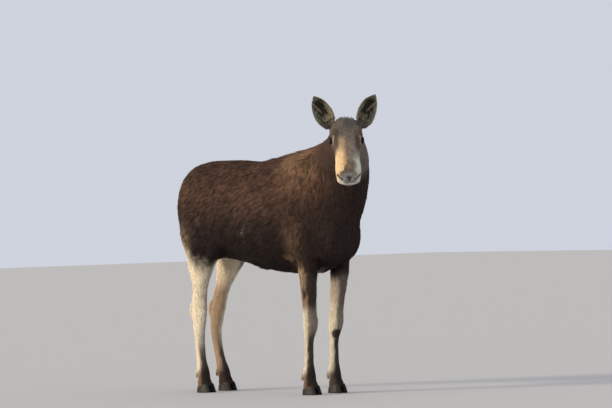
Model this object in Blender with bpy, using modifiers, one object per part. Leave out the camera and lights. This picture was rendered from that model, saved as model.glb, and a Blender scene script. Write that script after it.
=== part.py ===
"""A standing moose cow in winter coat, life size, parted into the pieces that a person would name.

The body is modelled whole, from lofts and muscles, in metres with +Z up and +X from tail to chest.
It is then fused into one closed form, thinned, and parted by flat cuts with a hair's gap between pieces.
"""

import math

import bmesh
import bpy
import numpy as np
from mathutils import Matrix, Vector

# Driving dimensions, in metres.
SEAM = 0.0003  # gap that each cut leaves between two pieces
VOXEL = 0.008  # grain of the fused form
RING = 28  # points round a loft's section
SPAN = 4  # rings laid between two named sections

# How the fused form is eased: a little all over, then broadly on the trunk and neck only.
SOFTEN_STEPS = 8
EASE_STEPS = 80
EASE_BASE, EASE_RISE = 0.88, 0.16  # the legs below this height are left as they are
HEAD_START, HEAD_FADE = -0.08, 0.10  # and so is the head, along its own length
HEAD_UNDER = -0.27

# Share of the fused form's triangles that each piece keeps.
KEPT = {"head": 0.038, "neck": 0.0235, "trunk": 0.0106, "leg": 0.0245}

NECK_TURN = math.radians(-41)  # the face looks to the animal's right
NOSE_DROP = math.radians(39)  # the nose points this far below level
POLL = Vector((0.855, -0.074, 1.943))  # top of the neck, where the skull hangs

EYE_RADIUS = 0.021
EYE_SPOT = Vector((0.194, 0.106, -0.010))  # in the head's own frame, left side

# The left ear in the head's own frame: its seat, the way it points, and the way it opens.
EAR_SEAT = Vector((0.044, 0.106, -0.006))
EAR_AXIS = Vector((-0.58, 0.45, 0.67))
EAR_OPENING = Vector((0.76, 0.02, 0.65))
EAR_TURN = {1: math.radians(16), -1: math.radians(3)}  # left and right, outward about their length
EAR_LENGTH = 0.250
EAR_THICKNESS = 0.010
EDGE_THINNER, TIP_THINNER = 0.6, 0.45  # shares that its sheet loses at the rim and at the tip
EAR_SUNK, EAR_BOW = 0.9, 0.012  # how far behind its seat its back lies, and how far its tip bows
EAR_STEPS = 10  # points across the sheet
BED_GROWTH = 1.02  # the hollow under an ear, against the ear
# Share of its length, half width, and how far round the sheet curls to each side, in degrees.
EAR = (
    (0.00, 0.032, 140),
    (0.10, 0.045, 115),
    (0.25, 0.062, 90),
    (0.42, 0.068, 74),
    (0.60, 0.064, 60),
    (0.76, 0.052, 50),
    (0.88, 0.034, 42),
    (0.96, 0.017, 36),
    (1.00, 0.006, 30),
)

# Hooves: two toes to a foot. The coronet, where hair gives way to horn, slopes down to the heel.
CORONET = 0.055  # its height above the middle of the sole
CORONET_SLOPE = 0.30
HOOF_RING = 12
HOOF_LENGTH = 0.145
HOOF_WIDTH = 0.027  # from a toe's middle line to its side, on average
HOOF_LEVELS = (0.0, 0.12, 0.55, 1.0)  # shares of the wall's height
HOOF_SHORTER, HOOF_NARROWER = 0.26, 0.08  # at the coronet
SOLE_INSET = 0.045  # how far in the sole's edge is, as a share
HOOF_FORWARD, HOOF_RAKE = 0.008, 0.012  # how far forward the sole is, and how far the wall leans back
TOE_POINT = 0.30  # how much narrower a toe is in front than behind
TOE_FLAT, TOE_ROUND = 0.75, 1.25  # the side by the cleft is flatter than the outer one
TOE_MIDDLE = 0.79  # a toe's middle line, in widths from the cleft
TOE_SPREAD = 0.05  # how fast the toes part towards their tips
CLEFT = 0.003  # half the space between the toes

DEWCLAW = (0.013, 0.013, 0.030)  # radii
DEWCLAW_SPOT = Vector((-0.042, 0.024, -0.020))  # from the fetlock's centre, outer side
DEWCLAW_LEAN = math.radians(14)
TAIL = (0.024, 0.036, 0.070)  # radii
TAIL_SPOT = Vector((-0.948, 0.0, 1.500))
TAIL_LEAN = math.radians(-12)

# Where flat cuts part the body.
FORE_CUT = 0.860
HIND_CUT = 0.930
NECK_CUT = (Vector((0.50, 0.0, 1.82)), Vector((0.86, 0.0, 1.18)))  # from crest to chest
HEAD_BACK = -0.035  # in the head's own frame, behind the ears and jaw
HEAD_BOTTOM = -0.275
HEAD_TILT = math.radians(-8)
HEAD_REACH = (0.90, 0.30, 0.30)  # far corner of the block round the head
NECK_BLOCK = ((0.0, -0.6, -0.6), (1.2, 0.6, 1.6))  # everything ahead of the neck's cut
FORE_SPAN, HIND_SPAN = (0.20, 0.85), (-1.25, -0.35)  # where the legs' blocks lie along the body
INSIDE, OUTSIDE, UNDER = 0.002, 0.5, -0.2  # their inner and outer sides, and their undersides
HORN_BLOCK = ((-0.3, -0.2, -0.3), (0.3, 0.2, SEAM))  # all that is below the coronet

# Trunk sections from buttocks to chest: x, top, height of the widest line, bottom, half width,
# fullness above and below that line (2 is an ellipse, less is a ridge, more is boxy).
TRUNK = (
    (-0.960, 1.460, 1.36, 1.27, 0.060, 2.0, 2.0),
    (-0.925, 1.590, 1.36, 1.14, 0.150, 2.0, 2.0),
    (-0.830, 1.680, 1.36, 1.05, 0.215, 2.0, 2.0),
    (-0.680, 1.714, 1.36, 1.00, 0.250, 1.9, 2.0),
    (-0.500, 1.718, 1.34, 0.98, 0.262, 1.8, 2.1),
    (-0.300, 1.714, 1.31, 0.955, 0.275, 1.8, 2.1),
    (-0.080, 1.700, 1.27, 0.905, 0.292, 1.8, 2.1),
    (0.130, 1.748, 1.26, 0.880, 0.292, 1.6, 2.1),
    (0.300, 1.778, 1.27, 0.870, 0.272, 1.5, 2.0),
    (0.420, 1.797, 1.28, 0.868, 0.255, 1.4, 1.9),
    (0.560, 1.795, 1.30, 0.890, 0.230, 1.5, 1.8),
    (0.690, 1.700, 1.31, 0.970, 0.185, 1.7, 1.8),
    (0.775, 1.540, 1.28, 1.090, 0.115, 2.0, 2.0),
)

NECK_WIDEST = 0.48  # how far down from the crest the widest line is
NECK_FULLNESS = (1.9, 1.8)
# Neck sections from shoulders to skull: crest point, throat point, half width.
NECK = (
    ((0.36, 0.00, 1.765), (0.785, 0.02, 1.12), 0.200),
    ((0.56, 0.00, 1.828), (0.872, 0.02, 1.32), 0.195),
    ((0.69, -0.01, 1.893), (0.930, -0.03, 1.50), 0.162),
    ((0.775, -0.05, 1.950), (0.950, -0.10, 1.64), 0.127),
    ((0.825, -0.075, 1.980), (0.965, -0.16, 1.73), 0.112),
)

# Head sections from the poll to the upper lip, in the head's own frame, with the trunk's columns.
HEAD = (
    (-0.065, 0.000, -0.060, -0.140, 0.065, 2.0, 2.0),
    (-0.010, 0.050, -0.050, -0.195, 0.095, 2.0, 2.0),
    (0.060, 0.064, -0.045, -0.232, 0.109, 2.2, 1.9),
    (0.140, 0.056, -0.025, -0.242, 0.112, 2.5, 1.8),
    (0.215, 0.046, -0.025, -0.222, 0.106, 2.5, 1.8),
    (0.300, 0.036, -0.040, -0.178, 0.091, 2.3, 1.9),
    (0.380, 0.031, -0.045, -0.148, 0.087, 2.3, 2.0),
    (0.455, 0.035, -0.045, -0.135, 0.092, 2.3, 2.2),
    (0.515, 0.036, -0.052, -0.146, 0.090, 2.4, 1.9),
    (0.556, 0.022, -0.058, -0.150, 0.083, 2.4, 1.8),
    (0.585, -0.004, -0.064, -0.134, 0.063, 2.2, 1.9),
    (0.604, -0.036, -0.072, -0.108, 0.034, 2.0, 2.0),
)
JAW = (
    (0.120, -0.150, -0.190, -0.235, 0.045, 2.0, 2.0),
    (0.250, -0.110, -0.160, -0.205, 0.048, 2.0, 2.0),
    (0.400, -0.100, -0.140, -0.172, 0.040, 2.0, 2.0),
    (0.470, -0.100, -0.140, -0.170, 0.042, 2.0, 2.0),
    (0.510, -0.115, -0.142, -0.166, 0.034, 2.0, 2.0),
)

# Leg sections from the body down: x and y of the centre, height, half length fore and aft, half width.
FORELEG = (
    (0.470, 0.150, 1.240, 0.130, 0.075),
    (0.470, 0.155, 1.080, 0.115, 0.080),
    (0.498, 0.152, 0.965, 0.085, 0.068),
    (0.503, 0.150, 0.870, 0.076, 0.063),
    (0.503, 0.148, 0.778, 0.070, 0.058),
    (0.503, 0.145, 0.660, 0.058, 0.052),
    (0.505, 0.143, 0.580, 0.055, 0.050),
    (0.508, 0.141, 0.515, 0.059, 0.053),
    (0.500, 0.140, 0.455, 0.050, 0.046),
    (0.486, 0.140, 0.400, 0.039, 0.036),
    (0.479, 0.139, 0.300, 0.036, 0.033),
    (0.474, 0.138, 0.210, 0.040, 0.037),
    (0.471, 0.137, 0.150, 0.051, 0.047),
    (0.480, 0.137, 0.100, 0.047, 0.048),
    (0.494, 0.137, 0.055, 0.054, 0.056),
)
HINDLEG = (
    (-0.600, 0.130, 1.330, 0.200, 0.085),
    (-0.625, 0.150, 1.160, 0.230, 0.085),
    (-0.640, 0.157, 1.030, 0.180, 0.080),
    (-0.655, 0.155, 0.945, 0.138, 0.070),
    (-0.674, 0.150, 0.860, 0.102, 0.060),
    (-0.690, 0.145, 0.780, 0.074, 0.050),
    (-0.700, 0.142, 0.700, 0.066, 0.046),
    (-0.706, 0.140, 0.620, 0.072, 0.045),
    (-0.712, 0.139, 0.540, 0.064, 0.043),
    (-0.718, 0.138, 0.450, 0.049, 0.038),
    (-0.714, 0.137, 0.330, 0.043, 0.034),
    (-0.702, 0.136, 0.220, 0.043, 0.036),
    (-0.690, 0.136, 0.155, 0.053, 0.046),
    (-0.680, 0.136, 0.100, 0.048, 0.048),
    (-0.664, 0.136, 0.055, 0.054, 0.056),
)

# How each leg stands: its table and side, then how far forward of the table the whole leg is set,
# how much further forward and outward its foot, and how far its middle joint is bent back.
BEND_HEIGHT, BEND_REACH = 0.48, 0.34  # where a bent joint is, and how far along the leg it tells
STANCE = {
    "foreleg_right": (FORELEG, -1, 0.000, 0.000, 0.000, 0.000),
    "foreleg_left": (FORELEG, 1, 0.030, -0.060, 0.010, 0.040),
    "hindleg_right": (HINDLEG, -1, 0.000, 0.000, 0.000, 0.000),
    "hindleg_left": (HINDLEG, 1, -0.010, -0.045, 0.000, 0.090),
}

# Colour and roughness of each kind of surface.
MATERIALS = {
    "trunk": ((0.040, 0.024, 0.017), 0.85),
    "head": ((0.075, 0.055, 0.042), 0.80),
    "leg": ((0.210, 0.165, 0.120), 0.85),
    "ear": ((0.130, 0.110, 0.085), 0.85),
    "eye": ((0.010, 0.007, 0.005), 0.10),
    "horn": ((0.030, 0.026, 0.022), 0.45),
}

# Muscles and bony points on each side: centre, radii, and lean about the Y axis in degrees.
BODY_FORMS = {
    "shoulder_blade": ((0.420, 0.140, 1.430), (0.200, 0.080, 0.320), 14),
    "upper_arm": ((0.470, 0.150, 1.150), (0.170, 0.095, 0.170), -20),
    "breast": ((0.660, 0.085, 1.110), (0.125, 0.098, 0.180), 20),
    "haunch": ((-0.640, 0.130, 1.430), (0.260, 0.108, 0.230), 10),
    "thigh": ((-0.680, 0.140, 1.210), (0.210, 0.100, 0.240), 12),
    "stifle": ((-0.490, 0.150, 1.120), (0.120, 0.080, 0.150), -20),
}
HOCK_POINT = ((-0.778, 0.140, 0.605), (0.038, 0.029, 0.078))
TENDON = ((-0.735, 0.145, 0.880), (-0.785, 0.140, 0.640))  # top and low end of the cord above it
TENDON_RADII = (0.022, 0.016, 0.60)  # the last as a share of its length
HEAD_FORMS = {
    "brow": ((0.155, 0.083, 0.030), (0.070, 0.034, 0.022), 4),
    "cheek": ((0.150, 0.072, -0.125), (0.110, 0.042, 0.090), 12),
    "nostril": ((0.548, 0.050, -0.035), (0.044, 0.035, 0.044), 0),
    "lip": ((0.520, 0.040, -0.108), (0.066, 0.035, 0.034), -6),
    "ear_root": ((0.056, 0.084, -0.018), (0.048, 0.038, 0.048), 0),
}


def hermite(rows, per_span):
    """The rows with smooth ones laid between them, on a spline that runs through every row."""
    rows = np.array(rows, float)
    reach = np.linalg.norm(np.diff(rows[:, :3], axis=0), axis=1)
    at = np.concatenate([[0.0], np.cumsum(reach)])
    slope = np.gradient(rows, at, axis=0)
    laid = []
    for i, length in enumerate(reach):
        for t in np.arange(per_span) / per_span:
            stay = (1 + 2 * t) * (1 - t) ** 2
            go = t * t * (3 - 2 * t)
            leave = t * (1 - t) ** 2 * length
            arrive = t * t * (t - 1) * length
            laid.append(stay * rows[i] + go * rows[i + 1] + leave * slope[i] + arrive * slope[i + 1])
    laid.append(rows[-1])
    return np.array(laid)


def ring(centre, side, up, half_width, rise, drop, full_up, full_down):
    """Points round one section: half an oval above the centre and half below it."""
    points = []
    for step in range(RING):
        angle = 2 * math.pi * step / RING
        c, s = math.cos(angle), math.sin(angle)
        fullness, height = (full_up, rise) if s > 0 else (full_down, drop)
        across = half_width * math.copysign(abs(c) ** (2 / fullness), c)
        along = height * math.copysign(abs(s) ** (2 / fullness), s)
        points.append(centre + side * across + up * along)
    return points


def loft(bm, rings):
    """A closed tube through the rings."""
    laid = [[bm.verts.new(point) for point in points] for points in rings]
    for near, far in zip(laid, laid[1:]):
        for i in range(len(near)):
            j = (i + 1) % len(near)
            bm.faces.new((near[i], near[j], far[j], far[i]))
    bm.faces.new(laid[0][::-1])
    bm.faces.new(laid[-1])


def ball(bm, centre, radii, turn=None, segments=24):
    """An ellipsoid, turned about its own centre."""
    place = Matrix.Translation(centre) @ (turn or Matrix.Identity(4)) @ Matrix.Diagonal((*radii, 1))
    bmesh.ops.create_uvsphere(bm, u_segments=segments, v_segments=segments // 2, radius=1, matrix=place)


def lengthwise(bm, table, place=Matrix.Identity(4)):
    """A loft whose sections stand across the X axis, such as the trunk or the head."""
    side, up = Vector((0, 1, 0)), Vector((0, 0, 1))
    rings = []
    for x, top, wide, bottom, half_width, *fullness in hermite(table, SPAN):
        centre = Vector((x, 0, wide))
        points = ring(centre, side, up, half_width, top - wide, wide - bottom, *fullness)
        rings.append([place @ point for point in points])
    loft(bm, rings)


def neck(bm):
    """The neck, whose sections lie between its crest and its throat, and turn with it."""
    rows = hermite([(*crest, *throat, width) for crest, throat, width in NECK], SPAN)
    rings = []
    for i, row in enumerate(rows):
        crest, throat = Vector(row[:3]), Vector(row[3:6])
        before, after = rows[max(i - 1, 0)], rows[min(i + 1, len(rows) - 1)]
        forward = Vector(after[:3] + after[3:6]) - Vector(before[:3] + before[3:6])
        up = (crest - throat).normalized()
        side = up.cross(forward).normalized()
        centre = crest.lerp(throat, NECK_WIDEST)
        rise, drop = (crest - centre).length, (throat - centre).length
        rings.append(ring(centre, side, up, row[6], rise, drop, *NECK_FULLNESS))
    loft(bm, rings)


def leg_centre(leg, row):
    """Centre of a leg's section, with the leg set as it stands."""
    table, side, shift, forward, outward, bend = STANCE[leg]
    top = table[1][2]
    share = min(max((top - row[2]) / top, 0.0), 1.0)
    back = bend * math.exp(-(((row[2] - BEND_HEIGHT) / BEND_REACH) ** 2))
    x = row[0] + shift + forward * share - back
    return Vector((x, side * (row[1] + outward * share), row[2]))


def limb(bm, leg):
    """One leg, from inside the trunk to the coronet, with its sections level."""
    rings = []
    for row in hermite(STANCE[leg][0], SPAN):
        centre = leg_centre(leg, row)
        rings.append(ring(centre, Vector((0, 1, 0)), Vector((1, 0, 0)), row[4], row[3], row[3], 2.0, 2.0))
    loft(bm, rings)


def head_place():
    """From the head's own frame, with +X to the nose and +Z out of the brow, to the body's."""
    turned = Matrix.Rotation(NECK_TURN, 4, "Z") @ Matrix.Rotation(NOSE_DROP, 4, "Y")
    return Matrix.Translation(POLL) @ turned


def both_sides(bm, forms, place=Matrix.Identity(4)):
    """The named muscles and bony points, left and right."""
    for centre, radii, lean in forms.values():
        for side in (1, -1):
            spot = place @ Vector((centre[0], side * centre[1], centre[2]))
            turn = place.to_3x3().to_4x4() @ Matrix.Rotation(math.radians(lean), 4, "Y")
            ball(bm, spot, radii, turn)


def whole_body():
    """The body in one closed piece, without ears, eyes, hooves and tail."""
    bm = bmesh.new()
    lengthwise(bm, TRUNK)
    neck(bm)
    lengthwise(bm, HEAD, head_place())
    lengthwise(bm, JAW, head_place())
    both_sides(bm, BODY_FORMS)
    both_sides(bm, HEAD_FORMS, head_place())
    for leg in STANCE:
        limb(bm, leg)
        hock_and_tendon(bm, leg)
    bmesh.ops.recalc_face_normals(bm, faces=bm.faces)
    mesh = bpy.data.meshes.new("body")
    bm.to_mesh(mesh)
    bm.free()
    body = bpy.data.objects.new("body", mesh)
    bpy.context.scene.collection.objects.link(body)
    fuse = body.modifiers.new("fuse", "REMESH")
    fuse.mode, fuse.voxel_size = "VOXEL", VOXEL
    soften = body.modifiers.new("soften", "SMOOTH")
    soften.factor, soften.iterations = 0.5, SOFTEN_STEPS
    return body


def hock_and_tendon(bm, leg):
    """The point of the hock and the cord above it."""
    if leg.startswith("hind"):
        spot, radii = HOCK_POINT
        ball(bm, leg_centre(leg, spot), radii, segments=16)
        top, low = [leg_centre(leg, end) for end in TENDON]
        lean = (low - top).to_track_quat("Z", "Y").to_matrix().to_4x4()
        thick, wide, share = TENDON_RADII
        ball(bm, (top + low) / 2, (thick, wide, (low - top).length * share), lean, 16)


def box(name, low, high, place=Matrix.Identity(4), grow=0.0):
    """A block that cuts the body, with its corners given in its own frame."""
    bm = bmesh.new()
    bmesh.ops.create_cube(bm, size=1)
    size, middle = Vector(high) - Vector(low), (Vector(high) + Vector(low)) / 2
    for vert in bm.verts:
        vert.co = place @ (middle + Vector([c * (s + 2 * grow) for c, s in zip(vert.co, size)]))
    return finish_mesh(name, bm, "cutters")


def finish_mesh(name, bm, home, material=None):
    """An object from a bmesh, in the moose's collection or among the cutters."""
    bmesh.ops.recalc_face_normals(bm, faces=bm.faces)
    mesh = bpy.data.meshes.new(name)
    bm.to_mesh(mesh)
    bm.free()
    return place_object(name, mesh, home, material)


def place_object(name, mesh, home, material=None):
    obj = bpy.data.objects.new(name, mesh)
    collection = bpy.data.collections.get(home)
    if collection is None:
        collection = bpy.data.collections.new(home)
        bpy.context.scene.collection.children.link(collection)
    collection.objects.link(obj)
    if home == "cutters":
        obj.hide_render = True
        obj.display_type = "WIRE"
    else:
        mesh.materials.clear()
        mesh.materials.append(coat_material(name, *MATERIALS[material]))
    return obj


def coat_material(name, colour, roughness):
    material = bpy.data.materials.new(name)
    material.use_nodes = True
    shader = material.node_tree.nodes["Principled BSDF"]
    shader.inputs["Base Color"].default_value = (*colour, 1)
    shader.inputs["Roughness"].default_value = roughness
    return material


def evaluated(obj):
    """The mesh that an object's modifiers make."""
    return bpy.data.meshes.new_from_object(obj.evaluated_get(bpy.context.evaluated_depsgraph_get()))


def smoothed(body):
    """The fused body, with the trunk's and neck's muscles eased into each other."""
    mesh = evaluated(body)
    bpy.data.objects.remove(body)
    body = bpy.data.objects.new("smoothed", mesh)
    bpy.context.scene.collection.objects.link(body)
    broad = body.vertex_groups.new(name="broad")
    to_head = head_place().inverted()
    for vert in mesh.vertices:
        above_legs = min(max((vert.co.z - EASE_BASE) / EASE_RISE, 0.0), 1.0)
        spot = to_head @ vert.co
        of_head = min(max((spot.x - HEAD_START) / HEAD_FADE, 0.0), 1.0) if spot.z > HEAD_UNDER else 0.0
        broad.add([vert.index], above_legs * (1 - of_head), "REPLACE")
    ease = body.modifiers.new("ease", "SMOOTH")
    ease.factor, ease.iterations, ease.vertex_group = 0.5, EASE_STEPS, "broad"
    result = evaluated(body)
    bpy.data.objects.remove(body)
    return result


def part(name, skin, kind, keep, remove, material):
    """One piece of the body: thinned, kept inside one block and cut away from others."""
    obj = place_object(name, skin.copy(), "moose", material)
    thin = obj.modifiers.new("thin", "DECIMATE")
    thin.ratio = KEPT[kind]
    for label, operation, cutters in (("keep", "INTERSECT", keep), ("cut", "DIFFERENCE", remove)):
        for cutter in cutters:
            cut = obj.modifiers.new(f"{label}_{cutter.name}", "BOOLEAN")
            cut.operation, cut.solver, cut.object = operation, "EXACT", cutter
    return obj


def ear_frame(side):
    """Where one ear sits, the way it points, the way it opens, and the way across it."""
    place = head_place()
    mirror = Vector((1, side, 1))
    axis = (place.to_3x3() @ (EAR_AXIS * mirror)).normalized()
    opening = place.to_3x3() @ (EAR_OPENING * mirror)
    opening = (opening - axis * opening.dot(axis)).normalized()
    outward = place.to_3x3() @ Vector((0, side, 0))
    outward = (outward - axis * outward.dot(axis)).normalized()
    opening = (opening * math.cos(EAR_TURN[side]) + outward * math.sin(EAR_TURN[side])).normalized()
    return place @ (EAR_SEAT * mirror), axis, opening, axis.cross(opening)


def ear_depth(width, share):
    """How far the middle of the ear's back lies behind its seat."""
    return EAR_SUNK * width + EAR_BOW * share ** 2


def ear(side):
    """One ear: a cupped leaf, nearly a tube at its root."""
    seat, axis, opening, across = ear_frame(side)
    bm = bmesh.new()
    rings = []
    for share, width, curl in EAR:
        turn = math.radians(curl)
        radius = width / math.sin(min(turn, math.pi / 2))
        spine = seat + axis * (SEAM + EAR_LENGTH * share) - opening * ear_depth(width, share)
        points = []
        for layer in (0, 1):
            for step in range(EAR_STEPS):
                t = 2 * step / (EAR_STEPS - 1) - 1
                t = -t if layer else t
                thickness = EAR_THICKNESS * (1 - EDGE_THINNER * abs(t)) * (1 - TIP_THINNER * share)
                reach = radius - layer * thickness
                angle = turn * t
                rise, sideways = radius - reach * math.cos(angle), reach * math.sin(angle)
                points.append(spine + opening * rise + across * sideways)
        rings.append(points)
    loft(bm, rings)
    return bm


def ear_bed(side):
    """The round hollow in the skull that an ear's root stands in."""
    seat, axis, opening, across = ear_frame(side)
    bm = bmesh.new()
    rings = []
    for share, width, curl in EAR[:4]:
        radius = BED_GROWTH * width / math.sin(min(math.radians(curl), math.pi / 2)) + SEAM
        forward = radius - (BED_GROWTH - 1) * width - ear_depth(width, share)
        middle = seat + axis * EAR_LENGTH * share + opening * forward
        rings.append(ring(middle, across, opening, radius, radius, radius, 2, 2))
    loft(bm, rings)
    return bm


def hoof(leg, toe):
    """One toe's hoof: flat below, and ending above in the plane of the coronet."""
    foot = leg_centre(leg, STANCE[leg][0][-1])
    bm = bmesh.new()
    rings = []
    for level in HOOF_LEVELS:
        inset = SOLE_INSET if level == 0 else 0
        reach = HOOF_LENGTH / 2 * (1 - HOOF_SHORTER * level - inset)
        width = HOOF_WIDTH * (1 - HOOF_NARROWER * level - inset)
        middle = HOOF_FORWARD - HOOF_RAKE * level
        points = []
        for step in range(HOOF_RING):
            angle = 2 * math.pi * step / HOOF_RING
            c, s = math.cos(angle), math.sin(angle)
            across = width * s * (1 - TOE_POINT * c) * (TOE_ROUND if s > 0 else TOE_FLAT)
            x = middle + reach * c
            y = toe * (CLEFT + TOE_MIDDLE * HOOF_WIDTH + across + TOE_SPREAD * max(x, 0.0))
            points.append(Vector((foot.x + x, foot.y + y, level * (CORONET + CORONET_SLOPE * x))))
        rings.append(points)
    loft(bm, rings)
    return bm


def nested(name, centre, radii, turn, segments, material):
    """A small rounded piece and the hollow that it sits in, a seam wider all round."""
    piece, hollow = bmesh.new(), bmesh.new()
    ball(piece, centre, radii, turn, segments)
    ball(hollow, centre, [radius + SEAM for radius in radii], turn, segments)
    finish_mesh(name, piece, "moose", material)
    return finish_mesh(f"hollow_{name}", hollow, "cutters")


def stand_on_origin():
    """Moves everything so that the origin is under the middle of the moose, on the floor."""
    depsgraph = bpy.context.evaluated_depsgraph_get()
    corners = []
    for obj in bpy.data.collections["moose"].objects:
        mesh = obj.evaluated_get(depsgraph).data
        corners += [vert.co.copy() for vert in mesh.vertices]
    low = Vector([min(co[i] for co in corners) for i in range(3)])
    high = Vector([max(co[i] for co in corners) for i in range(3)])
    shift = Matrix.Translation((-(low.x + high.x) / 2, -(low.y + high.y) / 2, -low.z))
    for obj in bpy.data.objects:
        obj.data.transform(shift)


def main():
    for obj in list(bpy.data.objects):
        bpy.data.objects.remove(obj)
    skin = smoothed(whole_body())

    head_frame = head_place()
    tilt = Matrix.Rotation(HEAD_TILT, 4, "Y")
    low = (HEAD_BACK, -HEAD_REACH[1], HEAD_BOTTOM)
    head_block = box("head_block", low, HEAD_REACH, head_frame @ tilt)
    head_room = box("head_room", low, HEAD_REACH, head_frame @ tilt, SEAM)
    crest, chest = NECK_CUT
    along = (crest - chest).normalized()
    onward = along.cross(Vector((0, 1, 0))).normalized()
    onward = onward if onward.x > 0 else -onward
    sideways = along.cross(onward)
    cut_frame = Matrix((onward, sideways, along)).transposed().to_4x4()
    cut_frame.translation = chest
    neck_block = box("neck_block", *NECK_BLOCK, cut_frame)
    neck_room = box("neck_room", *NECK_BLOCK, cut_frame, SEAM)

    leg_blocks, leg_rooms = {}, []
    for leg, (table, side, *_) in STANCE.items():
        span, cut = (FORE_SPAN, FORE_CUT) if leg.startswith("fore") else (HIND_SPAN, HIND_CUT)
        sides = sorted((side * INSIDE, side * OUTSIDE))
        low, high = (span[0], sides[0], UNDER), (span[1], sides[1], cut)
        leg_blocks[leg] = box(f"block_{leg}", low, high)
        leg_rooms.append(box(f"room_{leg}", low, high, grow=SEAM))

    # Eyes and ears, and the hollows that they sit in.
    head_cuts = []
    for side, name in ((1, "left"), (-1, "right")):
        spot = head_frame @ (EYE_SPOT * Vector((1, side, 1)))
        turn = head_frame.to_3x3().to_4x4() @ Matrix.Rotation(math.radians(90), 4, "X")
        head_cuts.append(nested(f"eye_{name}", spot, [EYE_RADIUS] * 3, turn, 16, "eye"))
        finish_mesh(f"ear_{name}", ear(side), "moose", "ear")
        head_cuts.append(finish_mesh(f"bed_ear_{name}", ear_bed(side), "cutters"))

    part("head", skin, "head", [head_block], head_cuts, "head")
    part("neck", skin, "neck", [neck_block], [head_room], "trunk")

    hollow = nested("tail", TAIL_SPOT, TAIL, Matrix.Rotation(TAIL_LEAN, 4, "Y"), 12, "trunk")
    part("trunk", skin, "trunk", [], [neck_room, *leg_rooms, hollow], "trunk")

    for leg in STANCE:
        foot = leg_centre(leg, STANCE[leg][0][-1])
        fetlock = leg_centre(leg, STANCE[leg][0][-3])
        slope = Matrix.Rotation(-math.atan(CORONET_SLOPE), 4, "Y")
        slope.translation = (foot.x, foot.y, CORONET)
        cuts = [box(f"horn_{leg}", *HORN_BLOCK, slope)]
        for toe, place in ((1, "outer"), (-1, "inner")):
            side = STANCE[leg][1] * toe
            finish_mesh(f"hoof_{leg.replace('leg', '')}_{place}", hoof(leg, side), "moose", "horn")
            spot = fetlock + DEWCLAW_SPOT * Vector((1, side, 1))
            turn = Matrix.Rotation(DEWCLAW_LEAN, 4, "Y")
            label = f"dewclaw_{leg.replace('leg', '')}_{place}"
            cuts.append(nested(label, spot, DEWCLAW, turn, 8, "horn"))
        part(leg, skin, "leg", [leg_blocks[leg]], cuts, "leg")
    stand_on_origin()


main()
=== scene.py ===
"""The looks of a life-size moose cow in winter coat, standing and looking to its right.

One skin is cast from the solids of the body, drawn in by the depth of the coat, and finished on the
head with lids, nostrils and lips. Locks of hair are laid over it, each on its own root, and fill the
solids out to their outline. Eyeballs, hooves and dewclaws are pieces of their own.
"""

import math

import bmesh
import bpy
import numpy as np
from mathutils import Matrix, Vector
from mathutils.bvhtree import BVHTree


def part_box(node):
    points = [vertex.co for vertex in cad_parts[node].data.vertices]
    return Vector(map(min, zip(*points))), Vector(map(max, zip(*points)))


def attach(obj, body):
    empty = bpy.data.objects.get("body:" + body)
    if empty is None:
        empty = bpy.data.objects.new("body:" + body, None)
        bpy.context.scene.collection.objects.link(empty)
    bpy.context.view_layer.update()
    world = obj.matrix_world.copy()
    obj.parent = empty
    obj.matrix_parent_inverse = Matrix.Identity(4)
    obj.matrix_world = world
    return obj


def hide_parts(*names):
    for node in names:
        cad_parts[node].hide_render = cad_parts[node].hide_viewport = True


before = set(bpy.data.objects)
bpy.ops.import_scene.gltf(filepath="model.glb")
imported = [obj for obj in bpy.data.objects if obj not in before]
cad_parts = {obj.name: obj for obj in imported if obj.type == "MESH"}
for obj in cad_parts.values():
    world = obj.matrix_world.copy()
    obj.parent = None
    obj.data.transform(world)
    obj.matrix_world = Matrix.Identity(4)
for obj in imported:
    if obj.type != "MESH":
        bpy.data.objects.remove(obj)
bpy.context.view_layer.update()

SIDES = (("left", 1), ("right", -1))
LIMBS = ("foreleg_left", "foreleg_right", "hindleg_left", "hindleg_right")
SOLIDS = ("trunk", "neck", "head", "tail", *LIMBS)
FLESH = (*SOLIDS, "ear_left", "ear_right")


def centre_of(node):
    low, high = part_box(node)
    return (low + high) / 2


# The head's own frame: its origin is at the poll, +X to the nose, +Y to its left, +Z out of the brow.
NECK_TURN = math.radians(-41)
NOSE_DROP = math.radians(39)
BETWEEN_EYES = Vector((0.194, 0.0, -0.010))
HEAD_TURN = Matrix.Rotation(NECK_TURN, 4, "Z") @ Matrix.Rotation(NOSE_DROP, 4, "Y")
EYE_MIDDLE = (centre_of("eye_left") + centre_of("eye_right")) / 2
HEAD = Matrix.Translation(EYE_MIDDLE) @ HEAD_TURN @ Matrix.Translation(-BETWEEN_EYES)

# The ears in the head's own frame: the way each points and opens, and how far it is turned outward.
EAR_AXIS = Vector((-0.58, 0.45, 0.67))
EAR_OPENING = Vector((0.76, 0.02, 0.65))
EAR_TURN = {"left": math.radians(16), "right": math.radians(3)}
EAR_STUB = 0.24  # share of an ear's length that is cast with the body
EAR_PELT = 0.0006  # how far the skin of an ear lies under its hair

# The tops of the legs, and the middle between the fore and the hind ones.
FORE_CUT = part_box("foreleg_left")[1].z
HIND_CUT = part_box("hindleg_left")[1].z
LEGS_MIDDLE = -0.2

# The skin.
SWELL = 0.0004  # closes the hair's gap between two solids
GRAIN = 0.005  # side of the cells that the cast is made of
BROAD_STEPS = 130  # easing of the trunk and neck, whose solids have the widest facets
FINE_STEPS = 22  # easing of the whole cast
SKIN_SHARE = 0.11  # of the triangles that the cast has
POLL_PAD = 0.014  # the skull stands this far out under the hair of the poll
CORONET_DROP = 0.010  # the skin comes this far down over the hooves
BAND = 0.02  # height of the bands that a leg's hollows are shaped in
BONE_HOLLOW = 0.0035  # depth beside the cannon bone
CORD_HOLLOW = 0.0100  # depth in front of the cord of the hock

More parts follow.
